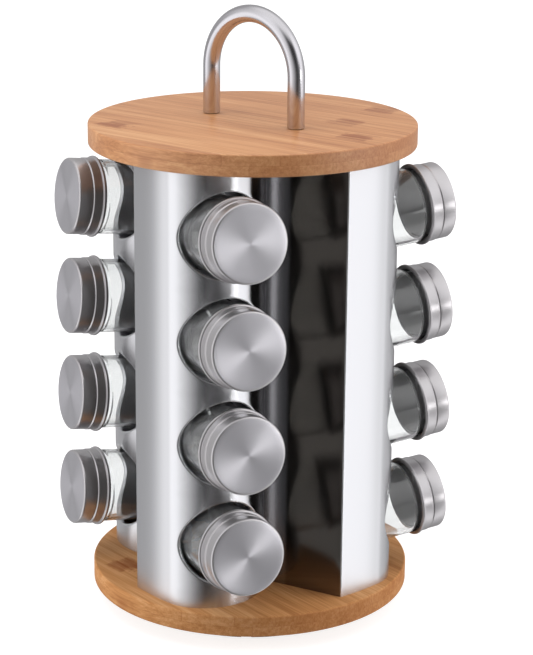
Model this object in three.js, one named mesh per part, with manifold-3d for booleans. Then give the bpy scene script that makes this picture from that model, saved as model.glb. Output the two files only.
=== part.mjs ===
// Spice carousel: sixteen tilted spice jars in a turning column of four folded steel lobes,
// held between two bamboo discs, with a carrying handle on top and a ball-bearing foot below.
// Millimetres, +Z up, the foot stands on z = 0 and the carousel turns about the Z axis.
import * as THREE from 'three';
import { mergeVertices } from 'three/addons/utils/BufferGeometryUtils.js';
import Module from 'manifold-3d';

const wasm = await Module();
wasm.setup();

// ---------- Sizes ----------

const SEAT_GAP = 0.3;              // clearance between a piece and the piece it seats on

const JAR_RADIUS = 21.8;
const JAR_BODY_HEIGHT = 70.4;
const JAR_SHOULDER = 2.5;
const JAR_HEEL = 3;
const JAR_WALL = 2;
const JAR_FLOOR = 3.5;
const JAR_TILT = 6;                // degrees, lid end raised
const THREAD_ROOM = 1.6;           // between the jar's neck and the lid's skirt
const SHOULDER_GAP = 0.4;          // between the lid's rolled rim and the jar's shoulder

const LID_OVERHANG = 0.5;          // lid skirt beyond the glass
const LID_HEIGHT = 16.5;
const LID_SHEET = 0.5;
const LID_EDGE = 1.2;
const LID_STEP = 0.35;
const LID_STEP_DOWN = 8.6;
const LID_CURL = 1.5;
const LID_CURL_HEIGHT = 1.8;
const LID_CURL_EASE = 0.6;

const SHEET = 0.8;                 // steel sheet of the column
const CORE_HALF = 22.9;            // from the axis of turning to the near side of a jar
const LOBE_SETBACK = 31.7;         // from the axis of turning out to the centre of a lobe's curve
const HOLE_CLEARANCE = 2.8;        // round each jar where it leaves the sheet
const LOBE_MARGIN = 11.4;          // from the edge of a hole to the side of a lobe
const SHOULDER_TIGHTENING = 10;    // the shoulder curve is this much tighter than the main curve
const SHOULDER_START = 115;        // degrees round the lobe where the shoulder curve takes over
const FACET_LEAN = 17;             // degrees, flat facet against the jar's direction
const FACET_WIDTH = 28;
const SEAM_ANGLE = 14;             // degrees round the lobe where the neighbour's wall meets it
const SEAM_LAP = 8;                // degrees of lobe carried on behind that wall

const ROWS = 4;
const COLUMNS = 4;
const FIRST_ROW_GAP = 15.1;        // base disc to the lowest lids
const ROW_GAP = 12.6;              // between one lid and the next above it
const LAST_ROW_GAP = 12.5;         // highest lids to the top disc

const GUIDE_CLEARANCE = 0.8;       // round each jar where it passes the guide plate
const GUIDE_ANGLE = 20;            // degrees round the lobe where the guide plate turns its edge
const GUIDE_FLANGE = 7;

const DISC_OVERHANG = 4.2;         // disc edge beyond the lobes
const DISC_THICKNESS = 12.5;
const DISC_ROUND = 1;
const GROOVE_DEPTH = 3;            // the sheets are let into both discs

const HANDLE_ROD = 5;
const HANDLE_SPAN = 66.4;
const HANDLE_LEG = 28;
const HANDLE_TURN = -67.1;         // degrees about Z
const STUD_RADIUS = 3;
const NUT_RADIUS = 5.5;
const NUT_HEIGHT = 4;
const ROD_RADIUS = 3;
const INSERT_WALL = 2.2;
const INSERT_LENGTH = 8;
const RECESS_MARGIN = 1.5;

const STRIP_UNDER = 0.9;           // rubber below the foot plate
const STRIP_LIP = 0.9;             // rubber above the foot plate
const STRIP_OUTSIDE = 2.7;
const STRIP_GRIP = 3.3;
const STRIP_JOINT = 6;             // open joint between the two ends of the strip
const STRIP_JOINT_TURN = -25.4;    // degrees about Z
const PLATE_RADIUS = 70;
const PLATE_BORE = 18;
const PLATE_THICKNESS = 2.5;
const LIP_WIDTH = 2;
const LIP_HEIGHT = 1.7;
const RACE_INNER = 36;
const RACE_OUTER = 54;
const RACE_THICKNESS = 1.6;
const TRACK_RADIUS = 45;
const TRACK_DEPTH = 1;
const BALL_RADIUS = 2.2;
const BALLS = 6;
const CAGE_HALF_WIDTH = 5;
const CAGE_THICKNESS = 1.2;

const ROUND_SIDES = 72;            // facets of the discs
const RING_SIDES = 36;             // facets of the bearing and foot rings
const JAR_SIDES = 16;
const HOLE_SIDES = 32;
const SMALL_SIDES = 12;

// ---------- Sizes that follow from the ones above ----------

const lidRadius = JAR_RADIUS + LID_OVERHANG;
const curlRadius = lidRadius + LID_CURL;
const neckRadius = lidRadius - LID_SHEET - THREAD_ROOM;
const neckHeight = LID_HEIGHT - LID_SHEET - SEAT_GAP + SHOULDER_GAP;
const shoulderTop = JAR_BODY_HEIGHT + JAR_SHOULDER;
const jarHeight = shoulderTop + neckHeight;
const lidSeat = jarHeight + SEAT_GAP + LID_SHEET - LID_HEIGHT;

const jarOffset = JAR_RADIUS + CORE_HALF;
const holeRadius = JAR_RADIUS + HOLE_CLEARANCE;
const lobeRadius = holeRadius + LOBE_MARGIN;
const lobeCentre = new THREE.Vector2(-jarOffset, -LOBE_SETBACK);
const discRadius = lobeCentre.length() + lobeRadius + DISC_OVERHANG;

const rowPitch = 2 * curlRadius + ROW_GAP;
const firstRow = curlRadius + FIRST_ROW_GAP;
const columnHeight = firstRow + (ROWS - 1) * rowPitch + curlRadius + LAST_ROW_GAP;

const plateTop = STRIP_UNDER + SEAT_GAP + PLATE_THICKNESS;
const stripTop = plateTop + SEAT_GAP + STRIP_LIP;
const lowerRaceTop = plateTop + SEAT_GAP + RACE_THICKNESS;
const ballHeight = lowerRaceTop - TRACK_DEPTH + SEAT_GAP + BALL_RADIUS;
const upperRaceBottom = ballHeight + BALL_RADIUS + SEAT_GAP - TRACK_DEPTH;
const baseBottom = upperRaceBottom + RACE_THICKNESS + SEAT_GAP;
const baseTop = baseBottom + DISC_THICKNESS;
const columnTop = baseTop + columnHeight;
const topDiscTop = columnTop + DISC_THICKNESS;

// ---------- Solids ----------

/** Turns a geometry into a solid that can be joined to others or cut. */
function toSolid(geometry) {
  const bare = geometry.clone();
  bare.deleteAttribute('normal');
  bare.deleteAttribute('uv');
  const welded = mergeVertices(bare, 1e-4);
  const corners = welded.index.array;
  const triangles = [];
  for (let i = 0; i < corners.length; i += 3) {
    const [a, b, c] = [corners[i], corners[i + 1], corners[i + 2]];
    if (a !== b && b !== c && c !== a) triangles.push(a, b, c);
  }
  return new wasm.Manifold(new wasm.Mesh({
    numProp: 3,
    vertProperties: new Float32Array(welded.attributes.position.array),
    triVerts: new Uint32Array(triangles),
  }));
}

/** Turns a solid back into a geometry. */
function toGeometry(solid) {
  const mesh = solid.getMesh();
  const geometry = new THREE.BufferGeometry();
  geometry.setAttribute('position', new THREE.BufferAttribute(new Float32Array(mesh.vertProperties), 3));
  geometry.setIndex(new THREE.BufferAttribute(new Uint32Array(mesh.triVerts), 1));
  geometry.computeVertexNormals();
  return geometry;
}

/** Cuts every cutter out of a geometry. */
function cut(geometry, cutters) {
  let solid = toSolid(geometry);
  for (const cutter of cutters) solid = solid.subtract(toSolid(cutter));
  return toGeometry(solid);
}

/** Joins geometries that overlap into one. */
function join(first, others) {
  let solid = toSolid(first);
  for (const other of others) solid = solid.add(toSolid(other));
  return toGeometry(solid);
}

/** Turns a profile of [radius, height] corners about the Z axis. */
function turned(profile, sides) {
  const points = profile.map(([radius, height]) => new THREE.Vector2(radius, height));
  return new THREE.LatheGeometry(points, sides).rotateX(Math.PI / 2);
}

/** A round bar along Z from one height to another. */
function bar(radius, from, to, sides = SMALL_SIDES) {
  return turned([[0, from], [radius, from], [radius, to], [0, to]], sides);
}

/** A straight prism over a closed outline. */
function prism(outline, from, to) {
  const options = { depth: to - from, bevelEnabled: false };
  return new THREE.ExtrudeGeometry(new THREE.Shape(outline), options).translate(0, 0, from);
}

/** A hexagonal nut with a plain bore. */
function nut(radius, bore, from) {
  const corners = Array.from({ length: 6 }, (_, i) => polar(radius, i * 60));
  const ring = prism(corners, from, from + NUT_HEIGHT);
  return cut(ring, [bar(bore, from - 1, from + NUT_HEIGHT + 1)]);
}

/** A point at a radius and an angle in degrees. */
function polar(radius, degrees) {
  const angle = THREE.MathUtils.degToRad(degrees);
  return new THREE.Vector2(radius * Math.cos(angle), radius * Math.sin(angle));
}

/** Names a piece and gives it its finish. */
function piece(name, geometry, finish) {
  const mesh = new THREE.Mesh(geometry, new THREE.MeshStandardMaterial(finish));
  mesh.name = name;
  return mesh;
}

const BAMBOO = { color: 0xc98d5b, roughness: 0.45, metalness: 0 };
const STEEL_SHEET = { color: 0xc9cbcf, roughness: 0.2, metalness: 1 };
const GUIDE_STEEL = { color: 0xa9abae, roughness: 0.35, metalness: 1 };
const HANDLE_STEEL = { color: 0xd8d9db, roughness: 0.08, metalness: 1 };
const LID_STEEL = { color: 0xc4c4c6, roughness: 0.28, metalness: 1 };
const BRIGHT_ZINC = { color: 0xb8babd, roughness: 0.4, metalness: 1 };
const GLASS = { color: 0xdfe6e6, roughness: 0.04, metalness: 0, transparent: true, opacity: 0.35 };
const RUBBER = { color: 0x17181a, roughness: 0.85, metalness: 0 };
const PLASTIC = { color: 0x2a2b2e, roughness: 0.6, metalness: 0 };

// ---------- Foot ----------

function footPlate() {
  const from = plateTop - PLATE_THICKNESS;
  const lipOuter = RACE_INNER - 2 * SEAT_GAP;
  const lipInner = lipOuter - LIP_WIDTH;
  const lipTop = plateTop + LIP_HEIGHT;
  return turned([
    [PLATE_BORE, from], [PLATE_RADIUS, from], [PLATE_RADIUS, plateTop], [lipOuter, plateTop],
    [lipOuter, lipTop], [lipInner, lipTop], [lipInner, plateTop], [PLATE_BORE, plateTop],
    [PLATE_BORE, from],
  ], RING_SIDES);
}

function footStrip() {
  const inner = PLATE_RADIUS - STRIP_GRIP;
  const outer = PLATE_RADIUS + SEAT_GAP + STRIP_OUTSIDE;
  const slot = PLATE_RADIUS + SEAT_GAP;
  const slotTop = plateTop + SEAT_GAP;
  const ring = turned([
    [inner, 0], [outer, 0], [outer, stripTop], [inner, stripTop],
    [inner, slotTop], [slot, slotTop], [slot, STRIP_UNDER], [inner, STRIP_UNDER], [inner, 0],
  ], RING_SIDES);
  const joint = new THREE.BoxGeometry(STRIP_JOINT, 2 * outer, 3 * stripTop);
  joint.translate(0, -outer, 0).rotateZ(THREE.MathUtils.degToRad(STRIP_JOINT_TURN));
  return cut(ring, [joint]);
}

/** A flat ring with a ball track in its upper face, standing on z = 0. */
function race() {
  const trackTop = TRACK_DEPTH + CAGE_THICKNESS / 1.2;
  return turned([
    [RACE_INNER, 0], [RACE_OUTER, 0], [RACE_OUTER, RACE_THICKNESS],
    [TRACK_RADIUS + trackTop, RACE_THICKNESS],
    [TRACK_RADIUS + TRACK_DEPTH, RACE_THICKNESS - TRACK_DEPTH],
    [TRACK_RADIUS - TRACK_DEPTH, RACE_THICKNESS - TRACK_DEPTH],
    [TRACK_RADIUS - trackTop, RACE_THICKNESS],
    [RACE_INNER, RACE_THICKNESS], [RACE_INNER, 0],
  ], RING_SIDES);
}

function ballCage() {
  const inner = TRACK_RADIUS - CAGE_HALF_WIDTH;
  const outer = TRACK_RADIUS + CAGE_HALF_WIDTH;
  const half = CAGE_THICKNESS / 2;
  const ring = turned([[inner, -half], [outer, -half], [outer, half], [inner, half], [inner, -half]], RING_SIDES);
  const pockets = ballPlaces().map((place) => (
    bar(BALL_RADIUS + SEAT_GAP, -CAGE_THICKNESS, CAGE_THICKNESS).translate(place.x, place.y, 0)
  ));
  return cut(ring, pockets);
}

function ballPlaces() {
  return Array.from({ length: BALLS }, (_, i) => polar(TRACK_RADIUS, (i * 360) / BALLS));
}

function foot() {
  const group = new THREE.Group();
  group.add(piece('foot_plate', footPlate(), PLASTIC));
  group.add(piece('foot_strip', footStrip(), RUBBER));
  const lower = piece('lower_race', race(), BRIGHT_ZINC);
  lower.position.z = plateTop + SEAT_GAP;
  group.add(lower);
  return group;
}

function bearing() {
  const group = new THREE.Group();
  group.position.z = ballHeight;
  group.add(piece('ball_cage', ballCage(), PLASTIC));
  ballPlaces().forEach((place, i) => {
    const ball = piece(`bearing_ball_${i + 1}`, new THREE.SphereGeometry(BALL_RADIUS, 8, 6), BRIGHT_ZINC);
    ball.position.set(place.x, place.y, 0);
    group.add(ball);
  });
  return group;
}

// ---------- Jar and lid ----------

function jar() {
  const bore = JAR_RADIUS - JAR_WALL;
  const mouth = neckRadius - JAR_WALL;
  return turned([
    [0, 0], [JAR_RADIUS - JAR_HEEL, 0], [JAR_RADIUS, JAR_HEEL], [JAR_RADIUS, JAR_BODY_HEIGHT],
    [neckRadius, shoulderTop], [neckRadius, jarHeight], [mouth, jarHeight], [mouth, shoulderTop],
    [bore, JAR_BODY_HEIGHT], [bore, JAR_FLOOR], [0, JAR_FLOOR],
  ], JAR_SIDES);
}

function lid() {
  const inner = lidRadius - LID_SHEET;
  const band = lidRadius + LID_STEP;
  const step = LID_HEIGHT - LID_STEP_DOWN;
  return turned([
    [0, LID_HEIGHT - LID_SHEET], [inner, LID_HEIGHT - LID_SHEET], [inner, 0], [curlRadius, 0],
    [curlRadius, LID_CURL_HEIGHT], [band, LID_CURL_HEIGHT + LID_CURL_EASE], [band, step - LID_STEP],
    [lidRadius, step], [lidRadius, LID_HEIGHT - LID_EDGE], [lidRadius - LID_EDGE, LID_HEIGHT],
    [0, LID_HEIGHT],
  ], JAR_SIDES);
}

// ---------- Steel column ----------
// One lobe, seen from above, for the column of jars that faces -Y. Its sheet runs from the seam
// round the main curve, round a tighter shoulder curve, along a flat facet to a sharp fold, and
// back from the fold as a flat wall that ends against the lobe a quarter turn clockwise.

/** A direction in the lobe, counted in degrees from +X towards the nose of the lobe. */
function lobeDirection(degrees) {
  return polar(1, -degrees);
}

const shoulderRadius = lobeRadius - SHOULDER_TIGHTENING;
const shoulderCentre = lobeCentre.clone().addScaledVector(lobeDirection(SHOULDER_START), SHOULDER_TIGHTENING);
const shoulderEnd = 180 - FACET_LEAN;

/** A point on the main curve, moved outwards by grow. */
function onMainCurve(degrees, grow) {
  return lobeCentre.clone().addScaledVector(lobeDirection(degrees), lobeRadius + grow);
}

/** A point on the shoulder curve, moved outwards by grow. */
function onShoulder(degrees, grow) {
  return shoulderCentre.clone().addScaledVector(lobeDirection(degrees), shoulderRadius + grow);
}

const facetAlong = lobeDirection(shoulderEnd + 90);
const facetOut = lobeDirection(shoulderEnd);
const foldPoint = onShoulder(shoulderEnd, 0).addScaledVector(facetAlong, FACET_WIDTH);
const neighbourCentre = new THREE.Vector2(lobeCentre.y, -lobeCentre.x);
const seam = onMainCurve(SEAM_ANGLE, 0);
const seamPoint = new THREE.Vector2(seam.y, -seam.x);
const wallAlong = seamPoint.clone().sub(foldPoint).normalize();
const wallOut = new THREE.Vector2(-wallAlong.y, wallAlong.x);

/** The corner of the fold, moved outwards by grow from both of its faces. */
function foldCorner(grow) {
  const share = grow / (1 + facetOut.dot(wallOut));
  return foldPoint.clone().addScaledVector(facetOut, share).addScaledVector(wallOut, share);
}

/** Where the wall's face, moved outwards by grow, meets a circle about the neighbour's centre. */
function wallEnd(grow, radius) {
  const start = foldCorner(grow);
  const back = start.clone().sub(neighbourCentre);
  const half = back.dot(wallAlong);
  const reach = Math.sqrt(half * half - back.lengthSq() + radius * radius);
  return start.addScaledVector(wallAlong, -half - reach);
}

/** Evenly spaced points along one of the two curves. */
function sweep(curve, from, to, steps, grow) {
  return Array.from({ length: steps + 1 }, (_, i) => curve(from + ((to - from) * i) / steps, grow));
}

/** The face of the sheet from its hidden end to the fold. */
function lobeFace(grow) {
  return [
    ...sweep(onMainCurve, SEAM_ANGLE - SEAM_LAP, SHOULDER_START, 10, grow),
    ...sweep(onShoulder, SHOULDER_START, shoulderEnd, 5, grow).slice(1),
    foldCorner(grow),
  ];
}

/** The closed outline of one sheet, grown all round. */
function sheetOutline(grow) {
  const landing = lobeRadius + SEAT_GAP - grow;
  return [
    ...lobeFace(grow), wallEnd(grow, landing),
    wallEnd(-SHEET - grow, landing), ...lobeFace(-SHEET - grow).reverse(),
  ];
}

const nose = new THREE.Vector3(-jarOffset, -(LOBE_SETBACK + lobeRadius), 0);
const tilt = THREE.MathUtils.degToRad(JAR_TILT);
const jarTurn = Math.PI / 2 - tilt;
const jarDirection = new THREE.Vector3(0, -Math.cos(tilt), Math.sin(tilt));

/** Height above the base disc at which a row's jars pass the nose of the lobe. */
function rowHeight(row) {
  return firstRow + row * rowPitch;
}

/** Round cutters along the jars' axes, one for each row, from one depth outside the nose to another. */
function jarCutters(radius, from, to, floor) {
  return Array.from({ length: ROWS }, (_, row) => (
    bar(radius, from, to, HOLE_SIDES)
      .rotateX(jarTurn)
      .translate(nose.x, nose.y, floor + rowHeight(row))
  ));
}

/** How far behind the nose a jar stands when its heel just clears the back of the wall. */
function jarDepth() {
  const inward = new THREE.Vector3(-wallOut.x, -wallOut.y, 0);
  const wallBack = foldCorner(-SHEET);
  const lean = jarDirection.dot(inward);
  const across = Math.sqrt(1 - lean * lean);
  const heel = Math.min(-(JAR_RADIUS - JAR_HEEL) * across, JAR_HEEL * lean - JAR_RADIUS * across);
  const room = nose.clone().sub(new THREE.Vector3(wallBack.x, wallBack.y, 0)).dot(inward);
  return (room + heel - SEAT_GAP) / lean;
}

function columnSheet() {
  const reach = GROOVE_DEPTH - SEAT_GAP;
  const blank = prism(sheetOutline(0), baseTop - reach, columnTop + reach);
  return cut(blank, jarCutters(holeRadius, -holeRadius, LOBE_MARGIN, baseTop));
}

/** A channel-shaped plate across the inside of a lobe that carries the waists of its jars. */
function guidePlate() {
  const inside = -SHEET - SEAT_GAP;
  const face = (grow) => {
    const turn = onMainCurve(GUIDE_ANGLE, grow);
    const level = turn.y + (inside - grow);
    const facet = onShoulder(shoulderEnd, grow);
    const left = facet.clone().addScaledVector(facetAlong, (level - facet.y) / facetAlong.y);
    const right = new THREE.Vector2(turn.x, level);
    const rightEnd = onMainCurve(SEAM_ANGLE - SEAM_LAP, grow);
    return [rightEnd, right, left, left.clone().addScaledVector(facetAlong, GUIDE_FLANGE)];
  };
  const outline = [...face(inside), ...face(inside - SHEET).reverse()];
  const plate = prism(outline, baseTop + SEAT_GAP, columnTop - SEAT_GAP);
  const reach = lobeRadius + GUIDE_CLEARANCE;
  return cut(plate, jarCutters(JAR_RADIUS + GUIDE_CLEARANCE, -reach, -LOBE_MARGIN, baseTop));
}

/** One column of the carousel: its sheet, its guide plate and its jars with their lids. */
function column(index, pieces) {
  const group = new THREE.Group();
  group.rotation.z = (index * 2 * Math.PI) / COLUMNS;
  group.add(piece(`column_sheet_${index + 1}`, pieces.sheet, STEEL_SHEET));
  group.add(piece(`guide_plate_${index + 1}`, pieces.guide, GUIDE_STEEL));
  const depth = jarDepth();
  for (let row = 0; row < ROWS; row += 1) {
    const place = new THREE.Group();
    place.position.copy(nose).addScaledVector(jarDirection, -depth);
    place.position.z += baseTop + rowHeight(row);
    place.rotation.x = jarTurn;
    place.add(piece(`jar_${index + 1}_${row + 1}`, pieces.jar, GLASS));
    const cap = piece(`lid_${index + 1}_${row + 1}`, pieces.lid, LID_STEEL);
    cap.position.z = lidSeat;
    place.add(cap);
    group.add(place);
  }
  return group;
}

// ---------- Bamboo discs and what holds them ----------

/** A round board with eased edges. */
function board(from, to) {
  const cornerCut = DISC_ROUND * (1 - Math.SQRT1_2);
  return turned([
    [0, from], [discRadius - DISC_ROUND, from], [discRadius - cornerCut, from + cornerCut],
    [discRadius, from + DISC_ROUND], [discRadius, to - DISC_ROUND],
    [discRadius - cornerCut, to - cornerCut], [discRadius - DISC_ROUND, to], [0, to],
  ], ROUND_SIDES);
}

/** Cutters for the grooves that the four sheets stand in. */
function grooves(from, to) {
  return Array.from({ length: COLUMNS }, (_, i) => (
    prism(sheetOutline(SEAT_GAP), from, to).rotateZ((i * 2 * Math.PI) / COLUMNS)
  ));
}

const insertRadius = ROD_RADIUS + SEAT_GAP + INSERT_WALL;
const recessTop = baseBottom + NUT_HEIGHT + RECESS_MARGIN;

function baseDisc() {
  return cut(board(baseBottom, baseTop), [
    ...grooves(baseTop - GROOVE_DEPTH, baseTop + 1),
    bar(ROD_RADIUS + SEAT_GAP, baseBottom - 1, baseTop + 1),
    bar(NUT_RADIUS + RECESS_MARGIN, baseBottom - 1, recessTop),
  ]);
}

function topDisc() {
  const feet = [-1, 1].map((side) => {
    const place = polar((side * HANDLE_SPAN) / 2, HANDLE_TURN);
    return bar(STUD_RADIUS + SEAT_GAP, columnTop - 1, topDiscTop + 1).translate(place.x, place.y, 0);
  });
  return cut(board(columnTop, topDiscTop), [
    ...grooves(columnTop - 1, columnTop + GROOVE_DEPTH),
    bar(insertRadius + SEAT_GAP, columnTop - 1, columnTop + INSERT_LENGTH + SEAT_GAP),
    ...feet,
  ]);
}

/** The line of the handle: a straight leg, half a circle, and a straight leg back down. */
class HandleLine extends THREE.Curve {
  getPoint(fraction, target = new THREE.Vector3()) {
    const bend = HANDLE_SPAN / 2;
    const arch = Math.PI * bend;
    const distance = fraction * (2 * HANDLE_LEG + arch);
    if (distance < HANDLE_LEG) return target.set(bend, 0, distance);
    if (distance > HANDLE_LEG + arch) return target.set(-bend, 0, 2 * HANDLE_LEG + arch - distance);
    const turn = (distance - HANDLE_LEG) / bend;
    return target.set(bend * Math.cos(turn), 0, HANDLE_LEG + bend * Math.sin(turn));
  }
}

/** The handle, standing on z = 0, with the threaded studs that pass through the top disc. */
function handle() {
  const section = new THREE.Shape(Array.from({ length: SMALL_SIDES }, (_, i) => (
    polar(HANDLE_ROD, (i * 360) / SMALL_SIDES)
  )));
  const rod = new THREE.ExtrudeGeometry(section, { steps: 30, extrudePath: new HandleLine() });
  const below = -SEAT_GAP - DISC_THICKNESS - SEAT_GAP - NUT_HEIGHT - SEAT_GAP;
  const studs = [-1, 1].map((side) => (
    bar(STUD_RADIUS, below, HANDLE_ROD).translate((side * HANDLE_SPAN) / 2, 0, 0)
  ));
  return join(rod, studs);
}

function handleGroup() {
  const group = new THREE.Group();
  group.rotation.z = THREE.MathUtils.degToRad(HANDLE_TURN);
  const grip = piece('handle', handle(), HANDLE_STEEL);
  grip.position.z = topDiscTop + SEAT_GAP;
  group.add(grip);
  [-1, 1].forEach((side, i) => {
    const from = columnTop - SEAT_GAP - NUT_HEIGHT;
    const fastener = piece(`handle_nut_${i + 1}`, nut(NUT_RADIUS, STUD_RADIUS + SEAT_GAP, from), BRIGHT_ZINC);
    fastener.position.x = (side * HANDLE_SPAN) / 2;
    group.add(fastener);
  });
  return group;
}

function tieRod() {
  const group = new THREE.Group();
  const insert = cut(
    bar(insertRadius, columnTop, columnTop + INSERT_LENGTH),
    [bar(ROD_RADIUS + SEAT_GAP, columnTop - 1, columnTop + INSERT_LENGTH + 1)],
  );
  const rod = bar(ROD_RADIUS, baseBottom + SEAT_GAP, columnTop + INSERT_LENGTH - SEAT_GAP);
  const nutBottom = recessTop - SEAT_GAP - NUT_HEIGHT;
  group.add(piece('tie_rod', rod, BRIGHT_ZINC));
  group.add(piece('tie_rod_insert', insert, BRIGHT_ZINC));
  group.add(piece('tie_rod_nut', nut(NUT_RADIUS, ROD_RADIUS + SEAT_GAP, nutBottom), BRIGHT_ZINC));
  return group;
}

// ---------- Assembly ----------

function carousel() {
  const group = new THREE.Group();
  const upper = piece('upper_race', race().rotateX(Math.PI), BRIGHT_ZINC);
  upper.position.z = baseBottom - SEAT_GAP;
  group.add(upper);
  group.add(piece('base_disc', baseDisc(), BAMBOO));
  group.add(piece('top_disc', topDisc(), BAMBOO));
  group.add(handleGroup());
  group.add(tieRod());
  const pieces = { sheet: columnSheet(), guide: guidePlate(), jar: jar(), lid: lid() };
  for (let index = 0; index < COLUMNS; index += 1) group.add(column(index, pieces));
  return group;
}

const spiceCarousel = new THREE.Group();
spiceCarousel.add(foot());
spiceCarousel.add(bearing());
spiceCarousel.add(carousel());

export default spiceCarousel;
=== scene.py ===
"""Spice carousel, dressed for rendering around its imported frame.

A folded stainless column of four lobes holds sixteen tilted glass jars with spun lids. It stands
between two laminated bamboo discs, carries a bent rod handle and turns on a ball-bearing foot.
Sizes are in millimetres and become metres when a piece is finished.
"""

import logging
import math
from dataclasses import dataclass, field, replace
from enum import Enum
from typing import Iterable, Sequence, Union

import bmesh
import bpy
from mathutils import Matrix, Vector


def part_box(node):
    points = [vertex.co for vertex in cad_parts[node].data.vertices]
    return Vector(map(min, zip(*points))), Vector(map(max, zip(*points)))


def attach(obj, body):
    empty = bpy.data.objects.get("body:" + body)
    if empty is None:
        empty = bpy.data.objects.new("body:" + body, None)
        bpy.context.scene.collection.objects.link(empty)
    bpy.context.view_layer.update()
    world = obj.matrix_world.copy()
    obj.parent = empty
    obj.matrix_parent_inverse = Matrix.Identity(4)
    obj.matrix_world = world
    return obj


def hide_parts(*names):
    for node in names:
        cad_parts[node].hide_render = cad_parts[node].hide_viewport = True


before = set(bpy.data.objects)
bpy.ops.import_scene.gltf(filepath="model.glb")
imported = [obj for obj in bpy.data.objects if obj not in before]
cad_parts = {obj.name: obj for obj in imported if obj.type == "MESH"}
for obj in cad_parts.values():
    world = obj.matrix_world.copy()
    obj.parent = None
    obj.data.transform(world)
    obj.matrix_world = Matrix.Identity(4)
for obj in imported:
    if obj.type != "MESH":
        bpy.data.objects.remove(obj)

LOG = logging.getLogger("spice_carousel")
MM = 0.001
SMOOTH_LIMIT = math.radians(32)
WELD = 1e-4
NEAR = 0.01
STRAIGHT = 0.99
COLUMNS = 4
QUARTER = math.pi / 2
WHITE = (1, 1, 1, 1)

Feed = Union[bpy.types.Node, bpy.types.NodeSocket, float, tuple]


class Body(Enum):
    """The rigid bodies that pieces ride on."""

    FOOT = "foot"
    CAGE = "ball_cage"
    CAROUSEL = "carousel"


class Slot(Enum):
    """The record's material slots."""

    BAMBOO = "bamboo"
    COLUMN = "column_steel"
    ROD = "polished_rod"
    LID = "lid_steel"
    GLASS = "jar_glass"
    ZINC = "zinc_steel"
    BALL = "ball_steel"
    FOOT = "foot_plastic"
    RUBBER = "foot_rubber"


# ---------------------------------------------------------------- colour and nodes


def linear(code: str) -> tuple[float, float, float, float]:
    """Turns an sRGB hex colour into linear light.

    Args:
        code: Six hex digits, such as "c98d5b".

    Returns:
        Red, green, blue and an alpha of one.
    """
    channels = []
    for start in (0, 2, 4):
        value = int(code[start : start + 2], 16) / 255
        channels.append(value / 12.92 if value <= 0.04045 else ((value + 0.055) / 1.055) ** 2.4)
    return (*channels, 1.0)


def add_node(
    tree: bpy.types.NodeTree,
    kind: str,
    *feeds: Feed,
    inputs: dict[str | int, Feed] | None = None,
    stops: Sequence[tuple[float, tuple]] = (),
    **settings: object,
) -> bpy.types.Node:
    """Adds a node with its settings, and fills or links its inputs.

    Args:
        tree: The node tree.
        kind: The node's type, without the leading "ShaderNode".
        feeds: What the first inputs get: a value, a socket, or a node for its first output.
        inputs: The same for other inputs, by name or number.
        stops: Position and colour of each stop of a colour ramp, in order.
        settings: Attributes of the node.

    Returns:
        The new node.
    """
    node = tree.nodes.new("ShaderNode" + kind)
    for name, value in settings.items():
        setattr(node, name, value)
    for name, value in {**dict(enumerate(feeds)), **(inputs or {})}.items():
        source = value.outputs[0] if isinstance(value, bpy.types.Node) else value
        if isinstance(source, bpy.types.NodeSocket):
            tree.links.new(source, node.inputs[name])
        else:
            node.inputs[name].default_value = source
    if stops:
        elements = node.color_ramp.elements
        elements.remove(elements[-1])
        elements[0].position, elements[0].color = stops[0]
        for position, colour in stops[1:]:
            elements.new(position).color = colour
    return node


# ---------------------------------------------------------------- finishes


@dataclass(frozen=True)
class Finish:
    """A material, made once and shared by every piece that has it."""

    name: str = "Finish"

    def material(self) -> bpy.types.Material:
        """The finish's material, made on first use.

        Returns:
            The material.
        """
        found = bpy.data.materials.get(self.name)
        if found:
            return found
        made = bpy.data.materials.new(self.name)
        made.use_nodes = True
        tree = made.node_tree
        tree.nodes.clear()
        shader = add_node(tree, "BsdfPrincipled", inputs=self.surface(tree))
        add_node(tree, "OutputMaterial", self.covered(tree, shader))
        return made

    def surface(self, tree: bpy.types.NodeTree) -> dict[str | int, Feed]:
        """The inputs of the shader. Each finish has its own."""
        raise NotImplementedError

    def covered(self, tree: bpy.types.NodeTree, shader: bpy.types.Node) -> bpy.types.Node:
        """The shader with what lies over it, which is nothing on most finishes."""
        return shader

    @staticmethod
    def millimetres(
        tree: bpy.types.NodeTree, turn: float = 0.0, stretch: tuple = (1, 1, 1)
    ) -> bpy.types.Node:
        """Object coordinates in millimetres, turned about Z and stretched.

        Args:
            tree: The material's node tree.
            turn: Angle about Z in degrees.
            stretch: Scale along each axis after the turn, in noise cells per millimetre.

        Returns:
            The node that gives the place.
        """
        place = add_node(tree, "TexCoord").outputs["Object"]
        real = {"Rotation": (0, 0, math.radians(turn)), "Scale": (1 / MM, 1 / MM, 1 / MM)}
        turned_place = add_node(tree, "Mapping", place, inputs=real)
        return add_node(tree, "Mapping", turned_place, inputs={"Scale": stretch})


@dataclass(frozen=True)
class Figure:
    """One layer of the figure in bamboo: noise drawn out along the fibres.

    The noise has so many cells to the millimetre along the fibres, and each is so many
    millimetres wide. Its middle values, within a spread of one half, shift the board's tone.
    """

    run: float
    width: float
    detail: float
    roughness: float
    spread: float
    weight: float


# broad clouds of tone, then streaks about 2 mm wide, then fibres about half a millimetre apart
CLOUDS = Figure(0.008, 1 / 0.11, 2.0, 0.5, 0.2, 0.3)
STREAKS = Figure(0.014, 2.0, 3.0, 0.5, 0.16, 0.34)
FIBRES = Figure(0.035, 0.55, 3.0, 0.6, 0.14, 0.26)


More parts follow.
